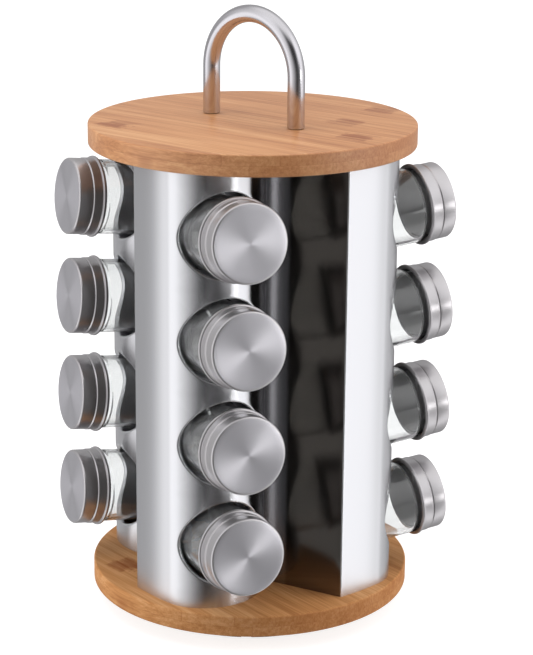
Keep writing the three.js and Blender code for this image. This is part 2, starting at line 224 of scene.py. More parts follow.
@dataclass(frozen=True)
class LaminatedBamboo(Finish):
    """Pressed bamboo board under a satin lacquer.

    Split bamboo laid flat in two layers and glued: long straight strips that each differ a little,
    fine dark fibres along them, reddish scars where the stalk had its joints, and a rim that shows
    the fibres as pores where it cuts across them.
    """

    grain_turn: float = 62.0
    scars: tuple[tuple[float, float], ...] = ()
    layer_split: float = 0.0
    pale: str = "dca877"
    middle: str = "c78c5d"
    deep: str = "a66c43"
    scar: str = "94552e"
    cut_shade: float = 0.5
    gloss: float = 0.36
    gleam: float = 0.5
    lacquer: float = 0.15
    strip_width: float = 19.0
    # how far the upper layer's strips are offset, as a share of their width
    layer_shift: float = 0.42
    # how far apart in the noise the strips take their figure
    strip_jump: float = 400.0
    tone_range: float = 0.3
    # where on the scale of tones the pale, middle and deep colours lie
    tone_stops: tuple[float, float, float] = (0.08, 0.5, 0.95)
    joint_width: float = 0.22
    joint_shade: float = 0.38
    # half the size of a scar, and how far its edge wanders along and across the fibres
    scar_length: float = 9.5
    scar_width: float = 12.5
    scar_drift: float = 24.0
    scar_skew: float = 6.0
    scar_cells: float = 0.16
    scar_falloff: float = 1.5
    # the streaks between these values tear a scar up
    torn: tuple[float, float] = (0.4, 0.58)
    torn_depth: float = 0.7
    worn: tuple[float, float] = (0.55, 0.25)
    # pores are drawn as coarse as they need to show: a little over a millimetre apart
    pore_cells: float = 0.8
    pore_run: float = 0.3
    pore_rise: float = 0.55
    pore_size: float = 1.7
    pore_shade: float = 0.5
    fibre_gloss: float = 0.12
    fibre_relief: float = 0.3
    relief: float = 0.0001

    def surface(self, tree: bpy.types.NodeTree) -> dict[str | int, Feed]:
        """The board's colour, gloss and relief.

        Args:
            tree: The material's node tree.

        Returns:
            The inputs of the shader.
        """
        place = self.millimetres(tree, self.grain_turn)
        along, across, height = add_node(tree, "SeparateXYZ", place).outputs
        layer = add_node(tree, "Math", height, self.layer_split, operation="GREATER_THAN")
        shift = self.strip_width * self.layer_shift
        lane = add_node(tree, "Math", layer, shift, across, operation="MULTIPLY_ADD")
        lane = add_node(tree, "Math", lane, self.strip_width, operation="DIVIDE")
        strip = add_node(tree, "Math", lane, operation="FLOOR")
        within = add_node(tree, "Math", lane, operation="FRACT")
        seed = add_node(tree, "CombineXYZ", strip, layer, self.layer_split * 0.01)
        tone = add_node(tree, "TexWhiteNoise", seed, noise_dimensions="3D")

        offset = add_node(tree, "Math", tone, self.strip_jump, operation="MULTIPLY")
        blend = add_node(tree, "Math", tone, 0.5, operation="SUBTRACT")
        blend = add_node(tree, "Math", blend, self.tone_range, 0.5, operation="MULTIPLY_ADD")
        noises = []
        for figure in (CLOUDS, STREAKS, FIBRES):
            spot = add_node(
                tree,
                "CombineXYZ",
                add_node(tree, "Math", along, figure.run, offset, operation="MULTIPLY_ADD"),
                add_node(tree, "Math", across, figure.width, operation="DIVIDE"),
                add_node(tree, "Math", height, figure.width, operation="DIVIDE"),
            )
            grade = {"Scale": 1.0, "Detail": figure.detail, "Roughness": figure.roughness}
            noises.append(add_node(tree, "TexNoise", spot, inputs=grade))
            low, high = 0.5 - figure.spread, 0.5 + figure.spread
            lines = add_node(tree, "MapRange", noises[-1], low, high)
            share = add_node(tree, "Math", lines, 0.5, operation="SUBTRACT")
            blend = add_node(tree, "Math", share, figure.weight, blend, operation="MULTIPLY_ADD")
        streak, fibre = noises[1:]
        tones = (linear(tint) for tint in (self.pale, self.middle, self.deep))
        stops = list(zip(self.tone_stops, tones))
        colour: Feed = add_node(tree, "ValToRGB", blend, stops=stops)

        glue = self.glue_lines(tree, within, height)
        scarred = self.scar_marks(tree, place, along, across)
        torn = add_node(tree, "MapRange", streak, *self.torn)
        worn = add_node(tree, "Math", lines, *self.worn, operation="MULTIPLY_ADD")
        torn = add_node(tree, "Math", torn, self.torn_depth, worn, operation="MULTIPLY_ADD")
        scarred = add_node(tree, "Math", scarred, torn, operation="MULTIPLY", use_clamp=True)
        cut_end = self.cut_ends(tree)
        pore = self.pores(tree, along, across, height)
        porous = add_node(tree, "Math", pore, cut_end, operation="MULTIPLY")
        # the upper layer's cut ends are a little darker
        extra = 0.25 * self.cut_shade
        shade = add_node(tree, "Math", layer, extra, self.cut_shade, operation="MULTIPLY_ADD")
        for share, tint in (
            (add_node(tree, "Math", glue, self.joint_shade, operation="MULTIPLY"), self.scar),
            (scarred, self.scar),
            (add_node(tree, "Math", cut_end, shade, operation="MULTIPLY"), self.deep),
            (add_node(tree, "Math", porous, self.pore_shade, operation="MULTIPLY"), self.scar),
        ):
            paints = {6: colour, 7: linear(tint)}
            colour = add_node(tree, "Mix", share, inputs=paints, data_type="RGBA").outputs[2]

        dull = self.fibre_gloss
        gloss = add_node(tree, "Math", fibre, dull, self.gloss, operation="MULTIPLY_ADD")
        relief = add_node(tree, "Math", fibre, self.fibre_relief, operation="MULTIPLY")
        for sunk in (porous, glue):
            relief = add_node(tree, "Math", relief, sunk, operation="SUBTRACT")
        rise = {"Height": relief, "Strength": 0.25, "Distance": self.relief}
        return {
            "Base Color": colour,
            "Roughness": gloss,
            "Normal": add_node(tree, "Bump", inputs=rise),
            "IOR": 1.5,
            "Specular IOR Level": self.gleam,
            "Coat Weight": self.lacquer,
            "Coat Roughness": 0.3,
        }

    def glue_lines(
        self, tree: bpy.types.NodeTree, within: bpy.types.Node, height: bpy.types.NodeSocket
    ) -> bpy.types.Node:
        """The glue between the strips and between the two layers.

        Args:
            tree: The material's node tree.
            within: Place across the strip, from zero to one.
            height: Height in millimetres.

        Returns:
            One on a glue line and zero off it.
        """
        edge = add_node(tree, "Math", 1.0, within, operation="SUBTRACT")
        edge = add_node(tree, "Math", within, edge, operation="MINIMUM")
        edge = add_node(tree, "Math", edge, self.strip_width, operation="MULTIPLY")
        level = add_node(tree, "Math", height, self.layer_split, operation="SUBTRACT")
        level = add_node(tree, "Math", level, operation="ABSOLUTE")
        gap = add_node(tree, "Math", edge, level, operation="MINIMUM")
        gap = add_node(tree, "Math", gap, self.joint_width, operation="DIVIDE")
        return add_node(tree, "Math", 1.0, gap, operation="SUBTRACT", use_clamp=True)

    def scar_marks(
        self,
        tree: bpy.types.NodeTree,
        place: bpy.types.Node,
        along: bpy.types.NodeSocket,
        across: bpy.types.NodeSocket,
    ) -> bpy.types.Node:
        """The scars that the stalk's joints leave across a strip, with wandering edges.

        Args:
            tree: The material's node tree.
            place: Place in millimetres.
            along: Place along the fibres.
            across: Place across them.

        Returns:
            One in the middle of a scar, falling to zero at its edge.
        """
        grade = {"Scale": self.scar_cells, "Detail": 4.0, "Roughness": 0.7}
        wander = add_node(tree, "TexNoise", place, inputs=grade)
        drift = add_node(tree, "Math", wander, 0.5, operation="SUBTRACT")
        marks: Feed = 0.0
        for scar_along, scar_across in self.scars:
            reach = add_node(tree, "Math", along, scar_along, operation="SUBTRACT")
            reach = add_node(tree, "Math", drift, self.scar_drift, reach, operation="MULTIPLY_ADD")
            reach = add_node(tree, "Math", reach, operation="ABSOLUTE")
            reach = add_node(tree, "Math", reach, self.scar_length, operation="DIVIDE")
            side = add_node(tree, "Math", across, scar_across, operation="SUBTRACT")
            side = add_node(tree, "Math", side, operation="ABSOLUTE")
            side = add_node(tree, "Math", wander, self.scar_skew, side, operation="MULTIPLY_ADD")
            side = add_node(tree, "Math", side, self.scar_width, operation="DIVIDE")
            away = add_node(tree, "Math", reach, side, operation="MAXIMUM")
            away = add_node(tree, "Math", away, self.scar_falloff, operation="POWER")
            here = add_node(tree, "Math", 1.0, away, operation="SUBTRACT", use_clamp=True)
            marks = add_node(tree, "Math", marks, here, operation="MAXIMUM")
        return add_node(tree, "Math", marks, 0.5, operation="POWER")

    def cut_ends(self, tree: bpy.types.NodeTree) -> bpy.types.Node:
        """How squarely the surface cuts across the fibres.

        Args:
            tree: The material's node tree.

        Returns:
            One where the fibres end in the surface and zero where they lie in it.
        """
        normal = add_node(tree, "NewGeometry").outputs["Normal"]
        turn = math.radians(-self.grain_turn)
        way = (math.cos(turn), math.sin(turn), 0.0)
        facing = add_node(tree, "VectorMath", normal, way, operation="DOT_PRODUCT")
        facing = add_node(tree, "Math", facing.outputs["Value"], operation="ABSOLUTE")
        return add_node(tree, "Math", facing, 2.0, operation="POWER")

    def pores(
        self,
        tree: bpy.types.NodeTree,
        along: bpy.types.NodeSocket,
        across: bpy.types.NodeSocket,
        height: bpy.types.NodeSocket,
    ) -> bpy.types.Node:
        """Open pores, as the cut ends of the fibres show them.

        Args:
            tree: The material's node tree.
            along: Place along the fibres.
            across: Place across them.
            height: Height in millimetres.

        Returns:
            One in a pore and zero between pores.
        """
        spot = add_node(
            tree,
            "CombineXYZ",
            add_node(tree, "Math", along, self.pore_run, operation="MULTIPLY"),
            across,
            add_node(tree, "Math", height, self.pore_rise, operation="MULTIPLY"),
        )
        grade = {"Scale": self.pore_cells, "Randomness": 0.9}
        pore = add_node(tree, "TexVoronoi", spot, inputs=grade, feature="F1")
        pore = add_node(tree, "Math", pore, self.pore_size, operation="MULTIPLY")
        return add_node(tree, "Math", 1.0, pore, operation="SUBTRACT", use_clamp=True)


@dataclass(frozen=True)
class BrushedStainless(Finish):
    """Stainless sheet as the column is folded from, finely brushed round the lobes.

    The brush lines are too fine to see. They keep the upright bands of light sharp from side to
    side and draw them out up and down, so nothing small is mirrored in the sheet.
    """

    tint: str = "dcdcdf"
    roughness: float = 0.27
    unevenness: float = 0.012
    ripple: float = 0.00002
    brush_cells: tuple[float, float, float] = (0.03, 0.03, 2.0)
    ripple_cells: tuple[float, float, float] = (0.02, 0.02, 0.012)

    def surface(self, tree: bpy.types.NodeTree) -> dict[str | int, Feed]:
        """A mirror that blurs up and down only, with a faint brushed texture.

        Args:
            tree: The material's node tree.

        Returns:
            The inputs of the shader.
        """
        lines = self.millimetres(tree, stretch=self.brush_cells)
        brushed = add_node(tree, "TexNoise", lines, inputs={"Scale": 1.0, "Detail": 2.0})
        slow = self.millimetres(tree, stretch=self.ripple_cells)
        wave = add_node(tree, "TexNoise", slow, inputs={"Scale": 1.0, "Detail": 1.0})
        low = self.roughness - self.unevenness / 2
        rise = {"Height": wave, "Strength": 1.0, "Distance": self.ripple}
        return {
            "Base Color": linear(self.tint),
            "Metallic": 1.0,
            "Anisotropic": 1.0,
            "Roughness": add_node(
                tree, "Math", brushed, self.unevenness, low, operation="MULTIPLY_ADD"
            ),
            "Normal": add_node(tree, "Bump", inputs=rise),
            "Tangent": add_node(tree, "CombineXYZ", 0.0, 0.0, 1.0),
        }


@dataclass(frozen=True)
class ShadePaintedStainless(Finish):
    """Stainless sheet for the flat walls: smooth, with painted shade in its dark tint.

    The tint is painted paler along the seam, as painted light, and just above the base board, as a
    painted reflection of the board.
    """

    # painted light: the pale tint along the seam; painted shade: the dark tint of the wall
    pale: str = "929193"
    dark: str = "3c3936"
    # painted reflection of the base board, low on the wall
    painted_reflection: str = "7b7571"
    pale_width: float = 15.0
    pale_edge: float = 1.5
    board: float = 23.0
    painted_reflection_height: float = 26.0
    roughness: float = 0.13
    unevenness: float = 0.04
    roll_cells: tuple[float, float, float] = (0.8, 0.8, 0.02)

    def surface(self, tree: bpy.types.NodeTree) -> dict[str | int, Feed]:
        """A mirror with painted shade whose tint follows the distance from seam and board.

        Args:
            tree: The material's node tree.

        Returns:
            The inputs of the shader.
        """
        run = add_node(tree, "Attribute", attribute_name="wall_run").outputs["Fac"]
        height = add_node(tree, "SeparateXYZ", self.millimetres(tree)).outputs[2]
        # painted shade, then a painted reflection of the board and painted light along the seam
        tint: Feed = linear(self.dark)
        for value, none, full, paint in (
            (height, self.board + self.painted_reflection_height, self.board, self.painted_reflection),
            (run, self.pale_width + self.pale_edge, self.pale_width - self.pale_edge, self.pale),
        ):
            share = add_node(tree, "MapRange", value, none, full, interpolation_type="SMOOTHSTEP")
            paints = {6: tint, 7: linear(paint)}
            tint = add_node(tree, "Mix", share, inputs=paints, data_type="RGBA").outputs[2]
        rolled = self.millimetres(tree, stretch=self.roll_cells)
        noise = add_node(tree, "TexNoise", rolled, inputs={"Scale": 1.0, "Detail": 2.0})
        low = self.roughness - self.unevenness / 2
        gloss = add_node(tree, "Math", noise, self.unevenness, low, operation="MULTIPLY_ADD")
        return {"Metallic": 1.0, "Base Color": tint, "Roughness": gloss}


@dataclass(frozen=True)
class SpunStainless(Finish):
    """Stainless screw cap: pressed, with its face turned on a lathe.

    The rings left by the tool fan the light out in a bow tie on the face.
    """

    tint: str = "d7d5da"
    ring_spacing: float = 0.45
    ring_depth: float = 0.00004
    roughness: float = 0.32
    unevenness: float = 0.08

    def surface(self, tree: bpy.types.NodeTree) -> dict[str | int, Feed]:
        """Ringed metal whose gloss is drawn out across the rings.

        Args:
            tree: The material's node tree.

        Returns:
            The inputs of the shader.
        """
        local = add_node(tree, "Attribute", attribute_name="lid_place").outputs["Vector"]
        x, y, height = add_node(tree, "SeparateXYZ", local).outputs
        flat = add_node(tree, "CombineXYZ", x, y, 0.0)
        radius = add_node(tree, "VectorMath", flat, operation="LENGTH").outputs["Value"]
        spot = add_node(tree, "CombineXYZ", radius, height)
        rings = add_node(tree, "TexNoise", spot, inputs={"Scale": 1 / self.ring_spacing})
        way = add_node(tree, "Attribute", attribute_name="spin_way").outputs["Vector"]
        way = add_node(
            tree,
            "VectorTransform",
            way,
            vector_type="VECTOR",
            convert_from="OBJECT",
            convert_to="WORLD",
        )
        normal = add_node(tree, "NewGeometry").outputs["Normal"]
        rise = {"Height": rings, "Strength": 0.12, "Distance": self.ring_depth}
        return {
            "Base Color": linear(self.tint),
            "Metallic": 1.0,
            "Anisotropic": 0.9,
            "Roughness": add_node(
                tree, "Math", rings, self.unevenness, self.roughness, operation="MULTIPLY_ADD"
            ),
            "Tangent": add_node(tree, "VectorMath", normal, way, operation="CROSS_PRODUCT"),
            "Normal": add_node(tree, "Bump", inputs=rise),
        }


@dataclass(frozen=True)
class PlainMetal(Finish):
    """A metal part with an even finish and a slight unevenness in its gloss."""

    tint: str = "c8c8cc"
    roughness: float = 0.2
    mottle: float = 0.08
    mottle_size: float = 1.5
    metallic: float = 1.0

    def surface(self, tree: bpy.types.NodeTree) -> dict[str | int, Feed]:
        """An even metal with mottled gloss.

        Args:
            tree: The material's node tree.

        Returns:
            The inputs of the shader.
        """
        place = self.millimetres(tree, stretch=(1 / self.mottle_size,) * 3)
        noise = add_node(tree, "TexNoise", place, inputs={"Scale": 1.0, "Detail": 3.0})
        low = self.roughness - self.mottle / 2
        gloss = add_node(tree, "Math", noise, self.mottle, low, operation="MULTIPLY_ADD")
        return {"Base Color": linear(self.tint), "Metallic": self.metallic, "Roughness": gloss}


@dataclass(frozen=True)
class MouldedPolymer(Finish):
    """Moulded plastic or rubber with the fine grain of its mould."""

    tint: str = "1c1d1f"
    roughness: float = 0.6
    grain: float = 0.4
    relief: float = 0.00003
    mottle: float = 0.15
    mottle_base: float = 0.07

    def surface(self, tree: bpy.types.NodeTree) -> dict[str | int, Feed]:
        """A dull moulded surface.

        Args:
            tree: The material's node tree.

        Returns:
            The inputs of the shader.
        """
        place = self.millimetres(tree, stretch=(1 / self.grain,) * 3)
        noise = add_node(tree, "TexNoise", place, inputs={"Scale": 1.0, "Detail": 2.0})
        low = self.roughness - self.mottle_base
        gloss = add_node(tree, "Math", noise, self.mottle, low, operation="MULTIPLY_ADD")
        rise = {"Height": noise, "Strength": 0.4, "Distance": self.relief}
        bump = add_node(tree, "Bump", inputs=rise)
        return {"Base Color": linear(self.tint), "Roughness": gloss, "Normal": bump}


@dataclass(frozen=True)
class JarGlass(Finish):
    """Soda-lime jar glass, blown in a mould: clear and faintly wavy, under a trace of haze."""

    tint: str = "fcfdfd"
    haze: str = "e8e9ea"
    film: float = 0.06
    wave_depth: float = 0.00012
    wave_cells: tuple[float, float, float] = (0.08, 0.08, 0.08)

    def surface(self, tree: bpy.types.NodeTree) -> dict[str | int, Feed]:
        """Clear glass with a slow mould wave.

        Args:
            tree: The material's node tree.

        Returns:
            The inputs of the shader.
        """
        place = self.millimetres(tree, stretch=self.wave_cells)
        wave = add_node(tree, "TexNoise", place, inputs={"Scale": 1.0, "Detail": 1.0})
        rise = {"Height": wave, "Strength": 1.0, "Distance": self.wave_depth}
        return {
            "Base Color": linear(self.tint),
            "Roughness": 0.015,
            "IOR": 1.52,
            "Transmission Weight": 1.0,
            "Normal": add_node(tree, "Bump", inputs=rise),
        }

    def covered(self, tree: bpy.types.NodeTree, shader: bpy.types.Node) -> bpy.types.Node:
        """The glass under its thin film of haze."""
        haze = add_node(tree, "BsdfDiffuse", linear(self.haze))
        return add_node(tree, "MixShader", self.film, shader, haze)


@dataclass(frozen=True)
class SeamlessPaper(Finish):
    """Matt pale paper that glows a little, so the floor stays all but white under the carousel."""

    shade: float = 0.42
    glow: float = 0.8

    def surface(self, tree: bpy.types.NodeTree) -> dict[str | int, Feed]:
        """Plain matt paper.

        Args:
            tree: The material's node tree.

        Returns:
            The inputs of the shader.
        """
        return {
            "Base Color": (self.shade, self.shade, self.shade, 1),
            "Roughness": 0.9,
            "Specular IOR Level": 0.0,
            "Emission Color": WHITE,
            "Emission Strength": self.glow,
        }


# lacquered board: satin, with a clear figure; the base is duller and more orange than the top
TOP_BAMBOO = LaminatedBamboo(
    "Laminated bamboo board top_disc",
    scars=((39.0, 74.0), (44.4, 31.0), (73.6, 0.0), (-52.3, -58.8), (46.3, 88.5)),
)
BASE_BAMBOO = LaminatedBamboo(
    "Laminated bamboo board base_disc",
    grain_turn=76.0,
    scars=((-30.0, -72.0), (20.0, 62.0)),
    pale="d9a675",
    middle="c38a56",
    deep="9e653a",
    cut_shade=0.45,
    gloss=0.6,
    gleam=0.15,
    lacquer=0.0,
)
# brushed round the lobes: sharp upright bands of light
COLUMN_STEEL = BrushedStainless("Fine-brushed stainless sheet")
# flat walls: a smooth mirror in painted shade, painted lighter at the seam and the board
WALL_STEEL = ShadePaintedStainless("Stainless wall with painted shade")
# turned face: fine rings and a bow tie of light
LID_STEEL = SpunStainless("Spun stainless cap")
# the cap's skirt and curl are left as pressed: smoother than the face, with a fine scatter
SKIRT_STEEL = PlainMetal("Pressed stainless skirt", "c8c5c7", 0.3, 0.06, 1.5, 0.84)
# clear glass: bright edges and dark refracted lines where it is thick
JAR_GLASS = JarGlass("Moulded soda-lime glass")
# a drawn and buffed rod mirrors sharply
HANDLE_STEEL = PlainMetal("Buffed stainless rod", "cccace", 0.19, 0.03, 4.0)
# guide plates are left as rolled, duller than the column
GUIDE_STEEL = PlainMetal("Mill-finish stainless sheet", "a9a9ad", 0.32, 0.1, 2.0)
# zinc plating is bright but patchy
ZINC_PLATE = PlainMetal("Zinc-plated steel", "b9bcc0", 0.34, 0.14, 1.2)
# ground balls are near mirrors
BALL_STEEL = PlainMetal("Ground bearing steel", "cfd0d2", 0.1, 0.03, 1.0)
# turned brass: warm, with a soft shine
INSERT_BRASS = PlainMetal("Turned brass", "c49a4e", 0.25, 0.08, 1.0)
# foot tray, moulded in black polypropylene: dull, faintly pebbled
FOOT_PLASTIC = MouldedPolymer("Moulded black polypropylene", "1d1e20", 0.55, 0.5)
# cage, moulded in natural nylon: milky and waxy
CAGE_NYLON = MouldedPolymer("Moulded natural nylon", "d8d2c0", 0.42, 0.6)
# foot strip, extruded rubber: nearly black and matt
FOOT_RUBBER = MouldedPolymer("Extruded black rubber", "121314", 0.82, 0.35, 0.00005)
# matt paper under the carousel
FLOOR_PAPER = SeamlessPaper("Pale seamless paper")


# ---------------------------------------------------------------- shapes


@dataclass(frozen=True)
class Corner:
    """A corner of a turned profile, rounded to a radius."""

    radius: float
    height: float
    ease: float = 0.0


def eased(corners: Sequence[Corner], closed: bool, steps: int = 5) -> list[Vector]:
    """Replaces each eased corner by a short arc.

    Args:
        corners: The corners in order.
        closed: Whether the last corner joins the first.
        steps: Pieces in each arc.

    Returns:
        Points of the profile, radius first and height second.
    """
    points: list[Vector] = []
    count = len(corners)
    for index, corner in enumerate(corners):
        here = Vector((corner.radius, corner.height))
        if not corner.ease or (not closed and index in (0, count - 1)):
            points.append(here)
            continue
        last, following = corners[index - 1], corners[(index + 1) % count]
        back = (Vector((last.radius, last.height)) - here).normalized()
        onward = (Vector((following.radius, following.height)) - here).normalized()
        half = back.angle(onward) / 2
        centre = here + (back + onward).normalized() * (corner.ease / math.sin(half))
        reach = corner.ease / math.tan(half)
        start, end = here + back * reach - centre, here + onward * reach - centre
        sweep = math.pi - 2 * half
        for step in range(steps + 1):
            share = step / steps
            first, second = math.sin((1 - share) * sweep), math.sin(share * sweep)
            points.append(centre + (start * first + end * second) / math.sin(sweep))
    return points


def turned(
    corners: Sequence[Corner], segments: int, closed: bool = False, sweep: float = 360.0
) -> bmesh.types.BMesh:
    """Turns a profile about Z.

    Args:
        corners: The profile.
        segments: Facets round the whole turn.
        closed: Whether the profile is a closed loop.
        sweep: Degrees turned; less than 360 leaves a gap with closed ends.

    Returns:
        The turned mesh.
    """
    mesh = bmesh.new()
    verts = [mesh.verts.new((point.x, 0.0, point.y)) for point in eased(corners, closed)]
    edges = [mesh.edges.new(pair) for pair in zip(verts, verts[1:])]
    if closed:
        edges.append(mesh.edges.new((verts[-1], verts[0])))
    whole = sweep >= 360.0
    bmesh.ops.spin(
        mesh,
        geom=verts + edges,
        cent=(0, 0, 0),
        axis=(0, 0, 1),
        angle=math.radians(sweep),
        steps=segments,
        use_merge=whole,
        use_duplicate=False,
    )
    bmesh.ops.remove_doubles(mesh, verts=mesh.verts[:], dist=WELD)
    if not whole:
        ends = [edge for edge in mesh.edges if edge.is_boundary]
        bmesh.ops.holes_fill(mesh, edges=ends, sides=0)
    bmesh.ops.recalc_face_normals(mesh, faces=mesh.faces[:])
    return mesh


@dataclass
class Piece:
    """A mesh on its way to becoming a piece of the carousel."""

    name: str
    mesh: bmesh.types.BMesh
    finish: Finish
    body: str
    slot: Slot
    stands_for: tuple[str, ...]
    place: Matrix = field(default_factory=lambda: Matrix.Identity(4))
    spun: bool = False
    second: Finish | None = None

    def finished(self) -> None:
        """Places the mesh, dresses it, hands it to its body and reports it."""
        local = [vertex.co.copy() for vertex in self.mesh.verts]
        matrix = Matrix.Scale(MM, 4) @ self.place
        bmesh.ops.transform(self.mesh, matrix=matrix, verts=self.mesh.verts[:])
        for face in self.mesh.faces:
            face.smooth = True
        data = bpy.data.meshes.new(self.name)
        self.mesh.to_mesh(data)
        self.mesh.free()
        data.set_sharp_from_angle(angle=SMOOTH_LIMIT)
        data.materials.append(self.finish.material())
        if self.second:
            data.materials.append(self.second.material())
        if self.spun:
            self.mark_turning(data, local)
        made = bpy.data.objects.new(self.name, data)
        bpy.context.scene.collection.objects.link(made)
        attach(made, self.body)
        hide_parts(*self.stands_for)
        LOG.info("%s: %d faces on %s", self.name, len(data.polygons), self.body)

    def mark_turning(self, data: bpy.types.Mesh, local: Sequence[Vector]) -> None:
        """Stores each point's place on the lathe, and the way it was turned.

        Args:
            data: The finished mesh.
            local: Its points before they were put on the carousel.
        """
        places = data.attributes.new("lid_place", "FLOAT_VECTOR", "POINT")
        ways = data.attributes.new("spin_way", "FLOAT_VECTOR", "POINT")
        turn = self.place.to_3x3()
        for index, point in enumerate(local):
            places.data[index].vector = point
            way = Vector((-point.y, point.x, 0.0))
            way = way.normalized() if way.length > 1e-6 else Vector((1, 0, 0))
            ways.data[index].vector = turn @ way


@dataclass(frozen=True)
class JarRows:
    """Where the rows of jars lie in each column, and how far the jars tip."""

    tilt: float = 6.0
    first: float = 38.9
    pitch: float = 60.2
    count: int = 4

    def heights(self) -> list[float]:
        """Height of each row's axis where it leaves the lobe, from the lowest row up."""
        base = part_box("base_disc")[1].z / MM
        return [base + self.first + row * self.pitch for row in range(self.count)]

    def axis(self) -> Vector:
        """The way out along a jar of the column that faces -Y."""
        tilt = math.radians(self.tilt)
        return Vector((0, -math.cos(tilt), math.sin(tilt)))


JAR_ROWS = JarRows()


# ---------------------------------------------------------------- bamboo discs


@dataclass
class BambooDisc:
    """A laminated disc with eased edges and a bore for the tie rod or its insert."""

    node: str
    finish: LaminatedBamboo
    bore: float
    bore_from_below: float
    recess: float = 0.0
    recess_depth: float = 0.0
    ease: float = 1.1
    bore_ease: float = 0.3
    mouth_ease: float = 0.2
    segments: int = 256

    def build(self) -> None:
        """Builds the disc."""
        low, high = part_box(self.node)
        radius, bottom, top = high.x / MM, low.z / MM, high.z / MM
        rim = [Corner(radius, bottom, self.ease), Corner(radius, top, self.ease)]
        if self.recess:
            shelf = bottom + self.recess_depth
            corners = [
                Corner(self.bore, shelf),
                Corner(self.recess, shelf),
                Corner(self.recess, bottom, self.bore_ease),
                *rim,
                Corner(self.bore, top, self.mouth_ease),
            ]
        else:
            roof = bottom + self.bore_from_below
            corners = [
                Corner(0, roof),
                Corner(self.bore, roof),
                Corner(self.bore, bottom, self.bore_ease),
                *rim,
                Corner(0, top),
            ]
        mesh = turned(corners, self.segments, closed=bool(self.recess))
        finish = replace(self.finish, layer_split=(bottom + top) / 2)
        name = self.node + "_board"
        Piece(name, mesh, finish, Body.CAROUSEL.value, Slot.BAMBOO, (self.node,)).finished()


# ---------------------------------------------------------------- steel column


@dataclass
class FaceLine:
    """The outer face of a sheet seen from above, with the length along it at each point."""

    points: list[Vector]
    lengths: list[float] = field(default_factory=lambda: [0.0])

    def __post_init__(self) -> None:
        """Adds up the lengths."""
        for start, finish in zip(self.points, self.points[1:]):
            self.lengths.append(self.lengths[-1] + (finish - start).length)

    def point_at(self, length: float) -> Vector:
        """The point at a length along the line.

        Args:
            length: The length, which is held within the line.

        Returns:
            The point.
        """
        length = min(max(length, 0.0), self.lengths[-1])
        low, high = 0, len(self.lengths) - 1
        while high - low > 1:
            middle = (low + high) // 2
            if self.lengths[middle] <= length:
                low = middle
            else:
                high = middle
        share = (length - self.lengths[low]) / (self.lengths[high] - self.lengths[low])
        return self.points[low].lerp(self.points[high], share)

    def length_at(self, x: float, limit: float) -> float:
        """The length at which the front of the lobe has a given x.

        Args:
            x: The x.
            limit: The front is where y is less than this.

        Returns:
            The length.
        """
        for index, (first, second) in enumerate(zip(self.points, self.points[1:])):
            if first.y < limit and second.x <= x <= first.x:
                share = (first.x - x) / (first.x - second.x)
                step = self.lengths[index + 1] - self.lengths[index]
                return self.lengths[index] + share * step
        raise ValueError(f"the lobe has no point at x = {x}")

    def wall_length(self) -> float:
        """The length of the straight wall at the end of the line.

        Returns:
            The length.
        """
        last = (self.points[-1] - self.points[-2]).normalized()
        length = 0.0
        for start, finish in zip(self.points[-2::-1], self.points[:0:-1]):
            if (finish - start).normalized().dot(last) < STRAIGHT:
                break
            length += (finish - start).length
        return length


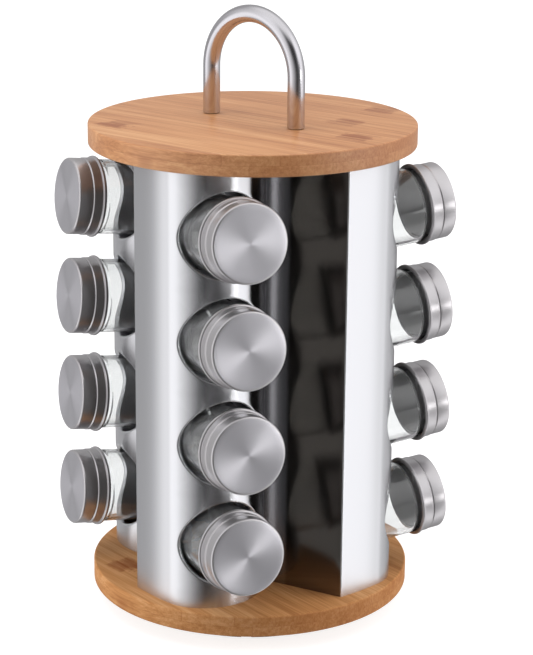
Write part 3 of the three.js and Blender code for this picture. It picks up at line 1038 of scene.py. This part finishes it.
@dataclass
class SteelColumn:
    """Four folded sheets, each a lobe with a facet, a sharp fold and a flat wall."""

    lobe_radius: float = 36.0
    lobe_x: float = -44.7
    lobe_y: float = -31.7
    tightening: float = 10.0
    shoulder_start: float = 115.0
    facet_lean: float = 17.0
    facet_width: float = 28.0
    crown: float = 4.5
    seam: float = 14.0
    lap: float = 8.0
    sheet: float = 0.8
    fold_ease: float = 0.9
    seat_gap: float = 0.3
    let_in: float = 0.4
    hole_radius: float = 24.6
    lip: float = 1.1
    collar: float = 1.6
    # how the face line is divided
    curve_steps: int = 60
    shoulder_steps: int = 22
    facet_steps: int = 15
    facet_lead: float = 5.0
    facet_level: float = 17.0
    fold_steps: int = 6
    wall_step: float = 4.0
    # the window is the patch of the sheet's grid that each hole is cut in
    window_half: float = 29.0
    window_rows: int = 24
    window_margin: float = 1.5
    window_rings: int = 5
    front_depth: float = 8.0
    nose_depth: float = 5.0
    lip_steps: int = 5

    def direction(self, degrees: float) -> Vector:
        """A direction in the lobe, from +X towards its nose."""
        angle = math.radians(-degrees)
        return Vector((math.cos(angle), math.sin(angle)))

    def face_line(self) -> FaceLine:
        """The outer face of one sheet, from its hidden end to the end of its wall.

        Returns:
            The line, in the column that faces -Y.
        """
        centre = Vector((self.lobe_x, self.lobe_y))
        tight = self.lobe_radius - self.tightening
        shoulder = centre + self.direction(self.shoulder_start) * self.tightening
        last = 180.0 - self.facet_lean
        corner = shoulder + self.direction(last) * tight
        fold = corner + self.direction(last + 90) * self.facet_width
        last -= self.crown
        line: list[Vector] = []
        first = self.seam - self.lap
        sweep = self.shoulder_start - self.seam + self.lap
        for step in range(self.curve_steps + 1):
            turn = first + sweep * step / self.curve_steps
            line.append(centre + self.direction(turn) * self.lobe_radius)
        for step in range(1, self.shoulder_steps + 1):
            turn = self.shoulder_start + (last - self.shoulder_start) * step / self.shoulder_steps
            line.append(shoulder + self.direction(turn) * tight)
        start = line[-1]
        lead = self.direction(last + 90) * self.facet_lead
        level = self.direction(last + 90 + 2 * self.crown) * self.facet_level
        for step in range(1, self.facet_steps):
            share = step / self.facet_steps
            rest = 1 - share
            point = start * rest**3 + (start + lead) * 3 * rest**2 * share
            line.append(point + (fold - level) * 3 * rest * share**2 + fold * share**3)
        end = self.wall_end(centre, fold)
        corners = [Corner(*line[-1]), Corner(*fold, self.fold_ease), Corner(*end)]
        flat = eased(corners, False, self.fold_steps)
        for start, finish in zip(flat, flat[1:]):
            pieces = max(1, round((finish - start).length / self.wall_step))
            line += [start.lerp(finish, step / pieces) for step in range(1, pieces + 1)]
        return FaceLine(line)

    def wall_end(self, centre: Vector, fold: Vector) -> Vector:
        """Where the wall comes to rest on the next lobe.

        Args:
            centre: Centre of the lobe's main curve.
            fold: The fold that the wall starts at.

        Returns:
            The end of the wall, a hair off the next lobe's face.
        """
        seam = centre + self.direction(self.seam) * self.lobe_radius
        seam = Vector((seam.y, -seam.x))
        along = (seam - fold).normalized()
        back = fold - Vector((self.lobe_y, -self.lobe_x))
        reach = self.lobe_radius + self.seat_gap
        half = back.dot(along)
        root = math.sqrt(half * half - back.length_squared + reach * reach)
        return fold + along * (-half - root)

    def levels(self, middles: Sequence[float]) -> list[float]:
        """Heights of the rows of the sheet's grid, close together beside each hole.

        Args:
            middles: Height of the middle of each hole.

        Returns:
            The heights, from just inside one board to just inside the other.
        """
        levels = [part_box("base_disc")[1].z / MM - self.let_in]
        for middle in middles:
            for step in range(self.window_rows + 1):
                levels.append(middle + self.window_half * (2 * step / self.window_rows - 1))
        levels.append(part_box("top_disc")[0].z / MM + self.let_in)
        return levels

    def build(self) -> None:
        """Builds the four sheets."""
        for index in range(COLUMNS):
            node = f"column_sheet_{index + 1}"
            Piece(
                node + "_folded",
                self.sheet_mesh(),
                COLUMN_STEEL,
                Body.CAROUSEL.value,
                Slot.COLUMN,
                (node,),
                Matrix.Rotation(index * QUARTER, 4, "Z"),
                # the flat wall's finish carries painted shade and painted reflections
                second=WALL_STEEL,
            ).finished()

    def sheet_mesh(self) -> bmesh.types.BMesh:
        """One sheet with its four holes, their rolled lips and its thickness.

        Returns:
            The mesh, in millimetres, for the column that faces -Y.
        """
        line = self.face_line()
        middles = JAR_ROWS.heights()
        levels = self.levels(middles)
        width = line.lengths[-1]
        columns, rows = len(line.points) - 1, len(levels) - 1

        mesh = bmesh.new()
        bmesh.ops.create_grid(mesh, x_segments=columns, y_segments=rows, size=0.5)
        for vertex in mesh.verts:
            column = round((vertex.co.x + 0.5) * columns)
            row = round((vertex.co.y + 0.5) * rows)
            vertex.co = (line.lengths[column], levels[row], 0.0)
        # distance back from the wall's end, which places the painted light along the seam
        run = mesh.verts.layers.float.new("wall_run")
        vectors = mesh.verts.layers.float_vector
        layers = tuple(vectors.new(name) for name in ("seat", "inward", "outward"))
        for middle in middles:
            self.cut_window(mesh, line, middle)
        rims = [self.rim_of(mesh, width, middle) for middle in middles]
        wall_start = width - line.wall_length()
        # faces on the flat wall take the finish with painted shade
        for face in mesh.faces:
            face.material_index = int(face.calc_center_median().x > wall_start)

        # roll the flat sheet up along the face line
        for vertex in mesh.verts:
            vertex[run] = width - vertex.co.x
            point = line.point_at(vertex.co.x)
            vertex.co = (point.x, point.y, vertex.co.y)
        bmesh.ops.recalc_face_normals(mesh, faces=mesh.faces[:])
        if sum(face.normal.dot(self.facing(face)) for face in mesh.faces) < 0:
            bmesh.ops.reverse_faces(mesh, faces=mesh.faces[:])
        mesh.normal_update()
        for rim in rims:
            self.roll_lip(mesh, rim, layers)
        bmesh.ops.solidify(mesh, geom=mesh.faces[:], thickness=self.sheet)
        bmesh.ops.recalc_face_normals(mesh, faces=mesh.faces[:])
        return mesh

    def facing(self, face: bmesh.types.BMFace) -> Vector:
        """The way out of the sheet on the main curve, and nothing elsewhere.

        Args:
            face: A face of the rolled sheet.

        Returns:
            The direction.
        """
        middle = face.calc_center_median()
        if middle.y > self.lobe_y - self.nose_depth:
            return Vector((0, 0, 0))
        return Vector((middle.x - self.lobe_x, middle.y - self.lobe_y, 0)).normalized()

    def cut_window(self, mesh: bmesh.types.BMesh, line: FaceLine, middle: float) -> None:
        """Opens one hole in the unrolled sheet and fills the ground round it with rings of quads.

        Args:
            mesh: The unrolled sheet: x is length along the face line, y is height.
            line: The face line.
            middle: Height of the jar's axis at the nose.
        """
        edge_radius = self.hole_radius + self.lip
        front = self.lobe_y - self.front_depth
        near = line.length_at(self.lobe_x + edge_radius, front) - self.window_margin
        far = line.length_at(self.lobe_x - edge_radius, front) + self.window_margin
        left = max(length for length in line.lengths if length <= near)
        right = min(length for length in line.lengths if length >= far)
        inside = [
            face
            for face in mesh.faces
            if left < face.calc_center_median().x < right
            and abs(face.calc_center_median().y - middle) < self.window_half
        ]
        bmesh.ops.delete(mesh, geom=inside, context="FACES")
        centre = Vector(((left + right) / 2, middle))
        half = Vector(((right - left) / 2, self.window_half))

        def around(vertex: bmesh.types.BMVert) -> float:
            """The angle at which a vertex stands round the window, as if that were square."""
            return math.atan2((vertex.co.y - centre.y) / half.y, (vertex.co.x - centre.x) / half.x)

        border = [
            vertex
            for vertex in mesh.verts
            if vertex.is_boundary
            and left - NEAR < vertex.co.x < right + NEAR
            and abs(vertex.co.y - middle) < self.window_half + NEAR
        ]
        border.sort(key=around)
        nose = self.lobe_y - self.lobe_radius
        tilt = math.radians(JAR_ROWS.tilt)
        rim = []
        for vertex in border:
            turn = around(vertex)
            length = line.length_at(self.lobe_x + edge_radius * -math.cos(turn), front)
            axis_height = middle + (nose - line.point_at(length).y) * math.tan(tilt)
            height = axis_height + edge_radius * math.sin(turn) / math.cos(tilt)
            rim.append(mesh.verts.new((length, height, 0.0)))
        for index in range(len(rim)):
            after = (index + 1) % len(rim)
            mesh.faces.new((border[index], border[after], rim[after], rim[index]))
        rungs = [mesh.edges.get(pair) for pair in zip(border, rim)]
        bmesh.ops.subdivide_edges(mesh, edges=rungs, cuts=self.window_rings, use_grid_fill=True)

    def rim_of(
        self, mesh: bmesh.types.BMesh, width: float, middle: float
    ) -> list[bmesh.types.BMVert]:
        """The vertices of one hole's edge in the unrolled sheet.

        Args:
            mesh: The unrolled sheet.
            width: Its length along the face line.
            middle: Height of the middle of the hole.

        Returns:
            The vertices, in order round the hole.
        """
        rim = [
            vertex
            for vertex in mesh.verts
            if vertex.is_boundary
            and NEAR < vertex.co.x < width - NEAR
            and abs(vertex.co.y - middle) < self.window_half
        ]
        centre = sum((vertex.co for vertex in rim), Vector()) / len(rim)
        return sorted(rim, key=lambda vert: math.atan2(vert.co.y - centre.y, vert.co.x - centre.x))

    def roll_lip(
        self, mesh: bmesh.types.BMesh, rim: Sequence[bmesh.types.BMVert], layers: tuple
    ) -> None:
        """Turns the edge of a hole inwards as a small rolled lip with a short collar.

        Args:
            mesh: The rolled sheet.
            rim: The vertices of the hole's edge, in order.
            layers: Vertex layers that hold each point's seat, its way in and its way out.
        """
        seat, inward, outward = layers
        axis = JAR_ROWS.axis()
        middle = sum((vertex.co for vertex in rim), Vector()) / len(rim)
        origin = Vector((self.lobe_x, middle.y, middle.z))
        for vertex in rim:
            out = vertex.normal.copy()
            from_axis = vertex.co - origin
            from_axis -= axis * from_axis.dot(axis)
            way = -from_axis
            way -= out * way.dot(out)
            vertex[seat] = vertex.co.copy()
            vertex[inward] = way.normalized()
            vertex[outward] = out
        edges = [mesh.edges.get(pair) for pair in zip(rim, [*rim[1:], rim[0]])]
        for step in range(1, self.lip_steps + 2):
            grown = bmesh.ops.extrude_edge_only(mesh, edges=edges)["geom"]
            fresh = [item for item in grown if isinstance(item, bmesh.types.BMVert)]
            new = set(fresh)
            edges = [
                item
                for item in grown
                if isinstance(item, bmesh.types.BMEdge) and new.issuperset(item.verts)
            ]
            turn = QUARTER * min(step, self.lip_steps) / self.lip_steps
            depth = self.lip * (1 - math.cos(turn))
            depth += self.collar if step > self.lip_steps else 0.0
            for vertex in fresh:
                aside = vertex[inward] * self.lip * math.sin(turn)
                vertex.co = vertex[seat] + aside - vertex[outward] * depth


# ---------------------------------------------------------------- jars and lids


@dataclass
class JarSet:
    """Sixteen tilted jars and their caps."""

    radius: float = 21.8
    body: float = 70.4
    shoulder: float = 72.9
    height: float = 89.0
    neck: float = 20.2
    wall: float = 2.0
    floor: float = 3.5
    heel: float = 4.0
    # the base is hollow under its middle, and stands on a ring
    hollow: float = 1.3
    hollow_radius: float = 13.5
    ring_radius: float = 16.0
    cap_radius: float = 22.3
    cap_height: float = 16.5
    cap_band: float = 22.65
    band_bottom: float = 2.1
    band_top: float = 7.3
    groove_top: float = 8.6
    groove_depth: float = 0.3
    cap_wall: float = 0.7
    cap_sheet: float = 0.5
    curl: float = 23.8
    curl_height: float = 1.8
    curl_ease: float = 0.85
    cap_seat: float = 73.3
    # rings of points that divide the cap's face
    face_rings: tuple[float, ...] = (18.0, 13.0, 8.0, 4.0, 1.5, 0.5, 0.0)
    # a jar's axis leaves the lobe at this x and y, and its base lies this far in along it
    offset: float = 44.7
    nose: float = 67.7
    depth: float = 58.86
    segments: int = 96

    def jar_profile(self) -> list[Corner]:
        """The jar from the middle of its base, up its outside and down its inside.

        Returns:
            The corners in order.
        """
        bore = self.radius - self.wall
        mouth = self.neck - self.wall
        return [
            Corner(0, self.hollow),
            Corner(self.hollow_radius, self.hollow, 3.0),
            Corner(self.ring_radius, 0.0, 1.0),
            Corner(self.radius, 0.0, self.heel),
            Corner(self.radius, self.body, 2.2),
            Corner(self.neck, self.shoulder, 0.8),
            Corner(self.neck, self.height, 0.7),
            Corner(mouth, self.height, 0.7),
            Corner(mouth, self.shoulder, 1.5),
            Corner(bore, self.body - 0.5, 2.5),
            Corner(bore, self.floor, 3.5),
            Corner(0, self.floor + 0.7),
        ]

    def cap_profile(self) -> list[Corner]:
        """The cap from the middle of its underside, out over its rolled rim and over its face.

        Returns:
            The corners in order.
        """
        top = self.cap_height
        inner = self.cap_radius - self.cap_wall
        return [
            Corner(0, top - self.cap_sheet),
            Corner(inner, top - self.cap_sheet, 0.9),
            Corner(inner, 0.0, 0.6),
            Corner(self.curl, 0.0, self.curl_ease),
            Corner(self.curl, self.curl_height, self.curl_ease),
            Corner(self.cap_band, self.band_bottom, 0.3),
            Corner(self.cap_band, self.band_top, 0.3),
            Corner(self.cap_radius - self.groove_depth, 7.9, 0.3),
            Corner(self.cap_radius, self.groove_top, 0.5),
            Corner(self.cap_radius, top, 1.25),
            *(Corner(ring, top) for ring in self.face_rings),
        ]

    def build(self) -> None:
        """Builds every jar and cap in its place."""
        lean = Matrix.Rotation(QUARTER - math.radians(JAR_ROWS.tilt), 4, "X")
        inset = JAR_ROWS.axis() * self.depth
        for column in range(COLUMNS):
            turn = Matrix.Rotation(column * QUARTER, 4, "Z")
            for row, height in enumerate(JAR_ROWS.heights()):
                foot = Vector((-self.offset, -self.nose, height)) - inset
                place = turn @ Matrix.Translation(foot) @ lean
                self.build_jar(f"{column + 1}_{row + 1}", place)

    def build_jar(self, tag: str, place: Matrix) -> None:
        """Builds one jar and its cap.

        Args:
            tag: Column and row, as the names have them.
            place: Where the jar's base lies.
        """
        jar, lid = f"jar_{tag}", f"lid_{tag}"
        glass = turned(self.jar_profile(), self.segments)
        Piece(jar + "_glass", glass, JAR_GLASS, jar, Slot.GLASS, (jar,), place).finished()
        cap = turned(self.cap_profile(), self.segments)
        for face in cap.faces:
            face.material_index = int(face.calc_center_median().z < self.cap_height - NEAR)
        Piece(
            lid + "_cap",
            cap,
            LID_STEEL,
            lid,
            Slot.LID,
            (lid,),
            place @ Matrix.Translation((0, 0, self.cap_seat)),
            spun=True,
            second=SKIRT_STEEL,
        ).finished()


# ---------------------------------------------------------------- handle, foot and hidden hardware


@dataclass
class Handle:
    """A rod bent to an arch, with studs that pass down through the top disc."""

    rod: float = 5.0
    span: float = 66.4
    leg: float = 28.0
    stud: float = 3.0
    turn: float = -67.1
    edge_ease: float = 0.4
    # in radians: edges sharper than this are eased
    edge_angle: float = 1.2
    sides: int = 40
    bends: int = 64

    def build(self) -> None:
        """Sweeps the rod up one leg, over the arch and down the other leg."""
        low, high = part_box("handle")
        start = high.z / MM - self.rod - self.span / 2 - self.leg
        mesh = bmesh.new()
        bmesh.ops.create_circle(
            mesh,
            cap_ends=True,
            radius=self.rod,
            segments=self.sides,
            matrix=Matrix.Translation((self.span / 2, 0, start)),
        )
        grown = self.raised(mesh, mesh.faces[:], self.leg)
        grown = bmesh.ops.spin(
            mesh,
            geom=grown + [edge for face in grown for edge in face.edges],
            cent=(0, 0, start + self.leg),
            axis=(0, -1, 0),
            angle=math.pi,
            steps=self.bends,
            use_merge=False,
            use_duplicate=False,
        )["geom_last"]
        last = [item for item in grown if isinstance(item, bmesh.types.BMFace)]
        self.raised(mesh, last, -self.leg)
        soles = [
            face
            for face in mesh.faces
            if face.calc_center_median().z < start + NEAR and len(face.verts) > 4
        ]
        step = self.rod - self.stud
        bmesh.ops.inset_region(mesh, faces=soles, thickness=step, use_even_offset=True)
        self.raised(mesh, soles, low.z / MM - start)
        bmesh.ops.remove_doubles(mesh, verts=mesh.verts[:], dist=WELD)
        # the discs that the rod grew from are left inside it
        buried = [
            face for face in mesh.faces if all(len(edge.link_faces) > 2 for edge in face.edges)
        ]
        bmesh.ops.delete(mesh, geom=buried, context="FACES_ONLY")
        bmesh.ops.recalc_face_normals(mesh, faces=mesh.faces[:])
        bmesh.ops.bevel(
            mesh,
            geom=[edge for edge in mesh.edges if edge.calc_face_angle(0) > self.edge_angle],
            offset=self.edge_ease,
            offset_type="OFFSET",
            segments=2,
            profile=0.5,
            affect="EDGES",
            material=-1,
        )
        Piece(
            "handle_rod",
            mesh,
            HANDLE_STEEL,
            Body.CAROUSEL.value,
            Slot.ROD,
            ("handle",),
            Matrix.Rotation(math.radians(self.turn), 4, "Z"),
        ).finished()

    @staticmethod
    def raised(
        mesh: bmesh.types.BMesh, faces: list[bmesh.types.BMFace], rise: float
    ) -> list[bmesh.types.BMFace]:
        """Extrudes faces straight up or down.

        Args:
            mesh: The mesh.
            faces: The faces.
            rise: How far up.

        Returns:
            The moved faces.
        """
        grown = bmesh.ops.extrude_face_region(mesh, geom=faces)["geom"]
        verts = [item for item in grown if isinstance(item, bmesh.types.BMVert)]
        bmesh.ops.translate(mesh, verts=verts, vec=(0, 0, rise))
        return [item for item in grown if isinstance(item, bmesh.types.BMFace)]


@dataclass
class Foot:
    """The standing foot: a moulded tray and a rubber strip round it."""

    bore: float = 18.0
    rim: float = 70.0
    tray_floor: float = 2.5
    lip_outer: float = 35.4
    lip_inner: float = 33.4
    strip_inner: float = 66.7
    strip_outer: float = 73.0
    strip_gap: float = 4.7
    joint_turn: float = -25.4
    groove_outer: float = 70.3
    groove_wall: float = 0.9
    segments: int = 160

    def build(self) -> None:
        """Builds the tray and the strip."""
        low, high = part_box("foot_plate")
        bottom, lip_top = low.z / MM, high.z / MM
        top = bottom + self.tray_floor
        tray = [
            Corner(self.bore, bottom, 0.4),
            Corner(self.rim, bottom, 0.5),
            Corner(self.rim, top, 0.5),
            Corner(self.lip_outer, top, 0.3),
            Corner(self.lip_outer, lip_top, 0.3),
            Corner(self.lip_inner, lip_top, 0.3),
            Corner(self.lip_inner, top, 0.6),
            Corner(self.bore, top, 0.4),
        ]
        mesh = turned(tray, self.segments, closed=True)
        body = Body.FOOT.value
        Piece("foot_tray", mesh, FOOT_PLASTIC, body, Slot.FOOT, ("foot_plate",)).finished()

        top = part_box("foot_strip")[1].z / MM
        strip = [
            Corner(self.strip_inner, 0.0, 0.4),
            Corner(self.strip_outer, 0.0, 1.0),
            Corner(self.strip_outer, top, 1.0),
            Corner(self.strip_inner, top, 0.4),
            Corner(self.strip_inner, top - self.groove_wall, 0.1),
            Corner(self.groove_outer, top - self.groove_wall, 0.1),
            Corner(self.groove_outer, self.groove_wall, 0.1),
            Corner(self.strip_inner, self.groove_wall, 0.1),
        ]
        mesh = turned(strip, self.segments, closed=True, sweep=360 - self.strip_gap)
        start = math.radians(self.joint_turn - 90 + self.strip_gap / 2)
        place = Matrix.Rotation(start, 4, "Z")
        node = "foot_strip"
        Piece("foot_rubber", mesh, FOOT_RUBBER, body, Slot.RUBBER, (node,), place).finished()


@dataclass
class Bearing:
    """Two pressed races with a row of balls between them."""

    inner: float = 36.0
    outer: float = 54.0
    track: float = 45.0
    thickness: float = 1.6
    track_depth: float = 1.0
    track_half: float = 1.0
    track_shoulder: float = 2.0
    ball: float = 2.2
    # keeps a ball's points inside its own box
    ball_trim: float = 0.995
    balls: int = 6
    segments: int = 160

    def race_profile(self) -> list[Corner]:
        """A race lying on z = 0 with its ball track upwards.

        Returns:
            The corners in order.
        """
        level = self.thickness
        track = level - self.track_depth
        return [
            Corner(self.inner, 0, 0.3),
            Corner(self.outer, 0, 0.3),
            Corner(self.outer, level, 0.3),
            Corner(self.track + self.track_shoulder, level, 0.3),
            Corner(self.track + self.track_half, track, 0.4),
            Corner(self.track - self.track_half, track, 0.4),
            Corner(self.track - self.track_shoulder, level, 0.3),
            Corner(self.inner, level, 0.3),
        ]

    def build(self) -> None:
        """Builds both races and the balls."""
        for node, body, flip in (
            ("lower_race", Body.FOOT, 0.0),
            ("upper_race", Body.CAROUSEL, math.pi),
        ):
            low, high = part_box(node)
            level = (high.z if flip else low.z) / MM
            place = Matrix.Translation((0, 0, level)) @ Matrix.Rotation(flip, 4, "X")
            mesh = turned(self.race_profile(), self.segments, closed=True)
            name = node + "_ring"
            Piece(name, mesh, ZINC_PLATE, body.value, Slot.ZINC, (node,), place).finished()
        for index in range(self.balls):
            node = f"bearing_ball_{index + 1}"
            low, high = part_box(node)
            mesh = bmesh.new()
            radius = self.ball * self.ball_trim
            bmesh.ops.create_icosphere(mesh, subdivisions=4, radius=radius)
            angle = math.radians(index * 360 / self.balls)
            level = (low.z + high.z) / 2 / MM
            spot = (self.track * math.cos(angle), self.track * math.sin(angle), level)
            Piece(
                node + "_ground",
                mesh,
                BALL_STEEL,
                Body.CAGE.value,
                Slot.BALL,
                (node,),
                Matrix.Translation(spot),
            ).finished()


@dataclass
class HiddenHardware:
    """CAD nodes that keep their own shape and get their finish."""

    finishes: dict[str, Finish] = field(
        default_factory=lambda: {
            "ball_cage": CAGE_NYLON,
            **{f"guide_plate_{index + 1}": GUIDE_STEEL for index in range(COLUMNS)},
            "handle_nut_1": ZINC_PLATE,
            "handle_nut_2": ZINC_PLATE,
            "tie_rod": ZINC_PLATE,
            "tie_rod_nut": ZINC_PLATE,
            "tie_rod_insert": INSERT_BRASS,
        }
    )

    def build(self) -> None:
        """Gives each node its finish."""
        for node, finish in self.finishes.items():
            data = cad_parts[node].data
            data.materials.clear()
            data.materials.append(finish.material())
            LOG.info("%s: finished as %s", node, finish.name)


# ---------------------------------------------------------------- studio


@dataclass
class Studio:
    """Floor, light and camera. The metal mirrors a ring of soft boxes with dark gaps between."""

    focal: float = 143.5
    sensor: float = 36.0
    distance: float = 1206.1
    height: float = 529.34
    pitch: float = 0.29196
    pan: float = 0.0074
    roll: float = 0.00939
    stand_turn: float = -24.0
    far_clip: float = 30.0
    floor_radius: float = 6.0
    backdrop: float = 1.0
    reflectance: float = 0.68
    # a ramp's colours stop at one, so they hold the light divided by this
    box_strength: float = 2.0
    box_blue: float = 1.01
    # what is mirrored: heading in degrees from +X, brightness as it shows in the steel
    low_ring: tuple[tuple[float, float], ...] = (
        (-180, 240),
        (-170, 215),
        (-158, 192),
        (-146, 168),
        (-134, 140),
        (-122, 106),
        (-113, 80),
        (-108, 52),
        (-96, 64),
        (-82, 86),
        (-70, 115),
        (-60, 108),
        (-53, 110),
        (-46, 244),
        (-34, 246),
        (-24, 248),
        (-15, 194),
        (-2, 176),
        (10, 172),
        (22, 152),
        (40, 136),
        (60, 132),
        (80, 144),
        (100, 156),
        (120, 150),
        (142, 146),
        (148, 166),
        (152, 215),
        (157, 246),
        (163, 253),
        (180, 240),
    )
    high_ring: tuple[tuple[float, float], ...] = (
        (-180, 235),
        (-160, 215),
        (-145, 150),
        (-132, 80),
        (-118, 48),
        (-100, 48),
        (-86, 70),
        (-72, 160),
        (-58, 245),
        (-20, 250),
        (15, 200),
        (60, 150),
        (110, 150),
        (150, 200),
        (180, 235),
    )
    zenith: float = 225.0
    # sines of the elevations between which one ring passes into the next, and that into the zenith
    rise: tuple[float, float] = (0.0, 0.4)
    crown: tuple[float, float] = (0.6, 0.95)
    key_heading: float = -54.0
    key_height: float = -2.5
    key_width: float = 7.0
    key_fade: tuple[float, float] = (1.25, 0.75)
    key_power: float = 2.25
    # name, heading in degrees, distance, height, diameter in metres, power in watts
    lamps: tuple[tuple[str, float, float, float, float, float], ...] = (
        ("left_side", -190.0, 1.5, 0.35, 0.6, 8.0),
        ("right_side", -34.0, 1.5, 0.35, 0.6, 8.0),
    )
    overhead: tuple[float, float, float] = (-0.2, 0.1, 1.55)
    overhead_size: float = 1.4
    overhead_power: float = 7.0
    aim_height: float = 0.17

    def build(self) -> None:
        """Builds the studio: one broad soft light overhead and one at each side."""
        self.floor()
        self.world()
        self.lamp("overhead", Vector(self.overhead), self.overhead_size, self.overhead_power)
        for name, heading, distance, height, size, power in self.lamps:
            angle = math.radians(heading)
            place = Vector((distance * math.cos(angle), distance * math.sin(angle), height))
            self.lamp(name, place, size, power)
        self.camera()
        bpy.context.scene.view_settings.view_transform = "Standard"

    def floor(self) -> None:
        """Lays a plain pale floor that does not show in the metal."""
        mesh = bmesh.new()
        bmesh.ops.create_circle(mesh, cap_ends=True, radius=self.floor_radius, segments=64)
        data = bpy.data.meshes.new("pale_floor")
        mesh.to_mesh(data)
        mesh.free()
        floor = bpy.data.objects.new("pale_floor", data)
        bpy.context.scene.collection.objects.link(floor)
        data.materials.append(FLOOR_PAPER.material())
        floor.visible_glossy = False
        floor.visible_diffuse = False

    def world(self) -> None:
        """Plain white for the eye; soft boxes and gaps for what the metal and the wood receive."""
        world = bpy.data.worlds.new("Studio")
        bpy.context.scene.world = world
        world.use_nodes = True
        tree = world.node_tree
        tree.nodes.clear()
        heading = add_node(tree, "TexCoord").outputs["Generated"]
        east, north, up = add_node(tree, "SeparateXYZ", heading).outputs
        angle = add_node(tree, "Math", north, east, operation="ARCTAN2")
        whole = 1 / (2 * math.pi)
        turn = add_node(tree, "Math", angle, whole, 0.5, operation="MULTIPLY_ADD")
        around, lift = math.radians(self.key_heading), math.radians(self.key_height)
        level = math.cos(lift)
        aim = (math.cos(around) * level, math.sin(around) * level, math.sin(lift))
        near = add_node(tree, "VectorMath", heading, aim, operation="DOT_PRODUCT").outputs["Value"]
        edge, core = (math.cos(math.radians(self.key_width * share)) for share in self.key_fade)
        top, power = self.mirrored(self.zenith), self.key_power
        room: Feed = self.ring(tree, turn, self.low_ring)
        for value, start, end, light in (
            (up, *self.rise, self.ring(tree, turn, self.high_ring)),
            (up, *self.crown, (top, top, top, 1)),
            (near, edge, core, (power, power, power, 1)),
        ):
            share = add_node(tree, "MapRange", value, start, end, interpolation_type="SMOOTHSTEP")
            lights = {6: room, 7: light}
            room = add_node(tree, "Mix", share, inputs=lights, data_type="RGBA").outputs[2]
        rays = add_node(tree, "LightPath").outputs
        bounced = add_node(tree, "Math", rays["Glossy Depth"], 0.5, operation="GREATER_THAN")
        for kind in ("Is Glossy Ray", "Is Diffuse Ray"):
            bounced = add_node(tree, "Math", bounced, rays[kind], operation="MAXIMUM")
        seen = add_node(tree, "Background", WHITE, self.backdrop)
        boxes = add_node(tree, "Background", room, self.box_strength)
        add_node(tree, "OutputWorld", add_node(tree, "MixShader", bounced, seen, boxes))

    def mirrored(self, shown: float) -> float:
        """The ramp's value for a brightness, out of 255, seen in the steel."""
        return (shown / 255) ** 2.2 / self.reflectance / self.box_strength

    def ring(
        self, tree: bpy.types.NodeTree, turn: Feed, ring: Sequence[tuple[float, float]]
    ) -> bpy.types.Node:
        """A ring of light and dark round the carousel.

        Args:
            tree: The world's node tree.
            turn: Heading, from zero at -X round to one.
            ring: Heading in degrees from +X, and brightness as it shows in the steel.

        Returns:
            The node that gives the light.
        """
        stops = []
        for degrees, shown in ring:
            value = self.mirrored(shown)
            stops.append(((degrees + 180) / 360, (value, value, value * self.box_blue, 1)))
        return add_node(tree, "ValToRGB", turn, stops=stops)

    def lamp(self, name: str, place: Vector, size: float, power: float) -> None:
        """A round soft light aimed at the middle of the column, unseen itself.

        Args:
            name: Its name.
            place: Where it stands, in metres.
            size: Diameter in metres.
            power: Power in watts.
        """
        data = bpy.data.lights.new(name, "AREA")
        data.shape = "DISK"
        data.size = size
        data.energy = power
        lamp = bpy.data.objects.new(name, data)
        lamp.location = place
        aim = Vector((0, 0, self.aim_height)) - place
        lamp.rotation_euler = aim.to_track_quat("-Z", "Y").to_euler()
        lamp.visible_glossy = False
        lamp.visible_camera = False
        bpy.context.scene.collection.objects.link(lamp)

    def camera(self) -> None:
        """Stands a long lens a little above the carousel, turned towards its first column."""
        right = Vector((math.cos(self.pan), -math.sin(self.pan), 0))
        level = Vector((math.sin(self.pan), math.cos(self.pan), 0))
        forward = level * math.cos(self.pitch) + Vector((0, 0, -math.sin(self.pitch)))
        up = right.cross(forward)
        sideways = right * math.cos(self.roll) + up * math.sin(self.roll)
        upright = up * math.cos(self.roll) - right * math.sin(self.roll)
        basis = Matrix((sideways, upright, -forward)).transposed().to_4x4()
        stand = Matrix.Rotation(math.radians(self.stand_turn), 4, "Z")
        place = Matrix.Translation((0, -self.distance * MM, self.height * MM))
        data = bpy.data.cameras.new("studio_camera")
        data.sensor_fit = "HORIZONTAL"
        data.sensor_width = self.sensor
        data.lens = self.focal
        data.clip_end = self.far_clip
        camera = bpy.data.objects.new("studio_camera", data)
        camera.matrix_world = stand @ place @ basis
        bpy.context.scene.collection.objects.link(camera)
        bpy.context.scene.camera = camera


# ---------------------------------------------------------------- assembly


def main() -> None:
    """Builds the carousel and its studio."""
    logging.basicConfig(level=logging.INFO, format="%(name)s %(message)s")
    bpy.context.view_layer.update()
    parts = (
        BambooDisc("top_disc", TOP_BAMBOO, bore=5.8, bore_from_below=8.3),
        BambooDisc(
            "base_disc",
            BASE_BAMBOO,
            bore=3.3,
            bore_from_below=0.0,
            recess=7.0,
            recess_depth=5.5,
        ),
        SteelColumn(),
        JarSet(),
        Handle(),
        Foot(),
        Bearing(),
        HiddenHardware(),
        Studio(),
    )
    for part in parts:
        part.build()


if __name__ == "__main__":
    main()
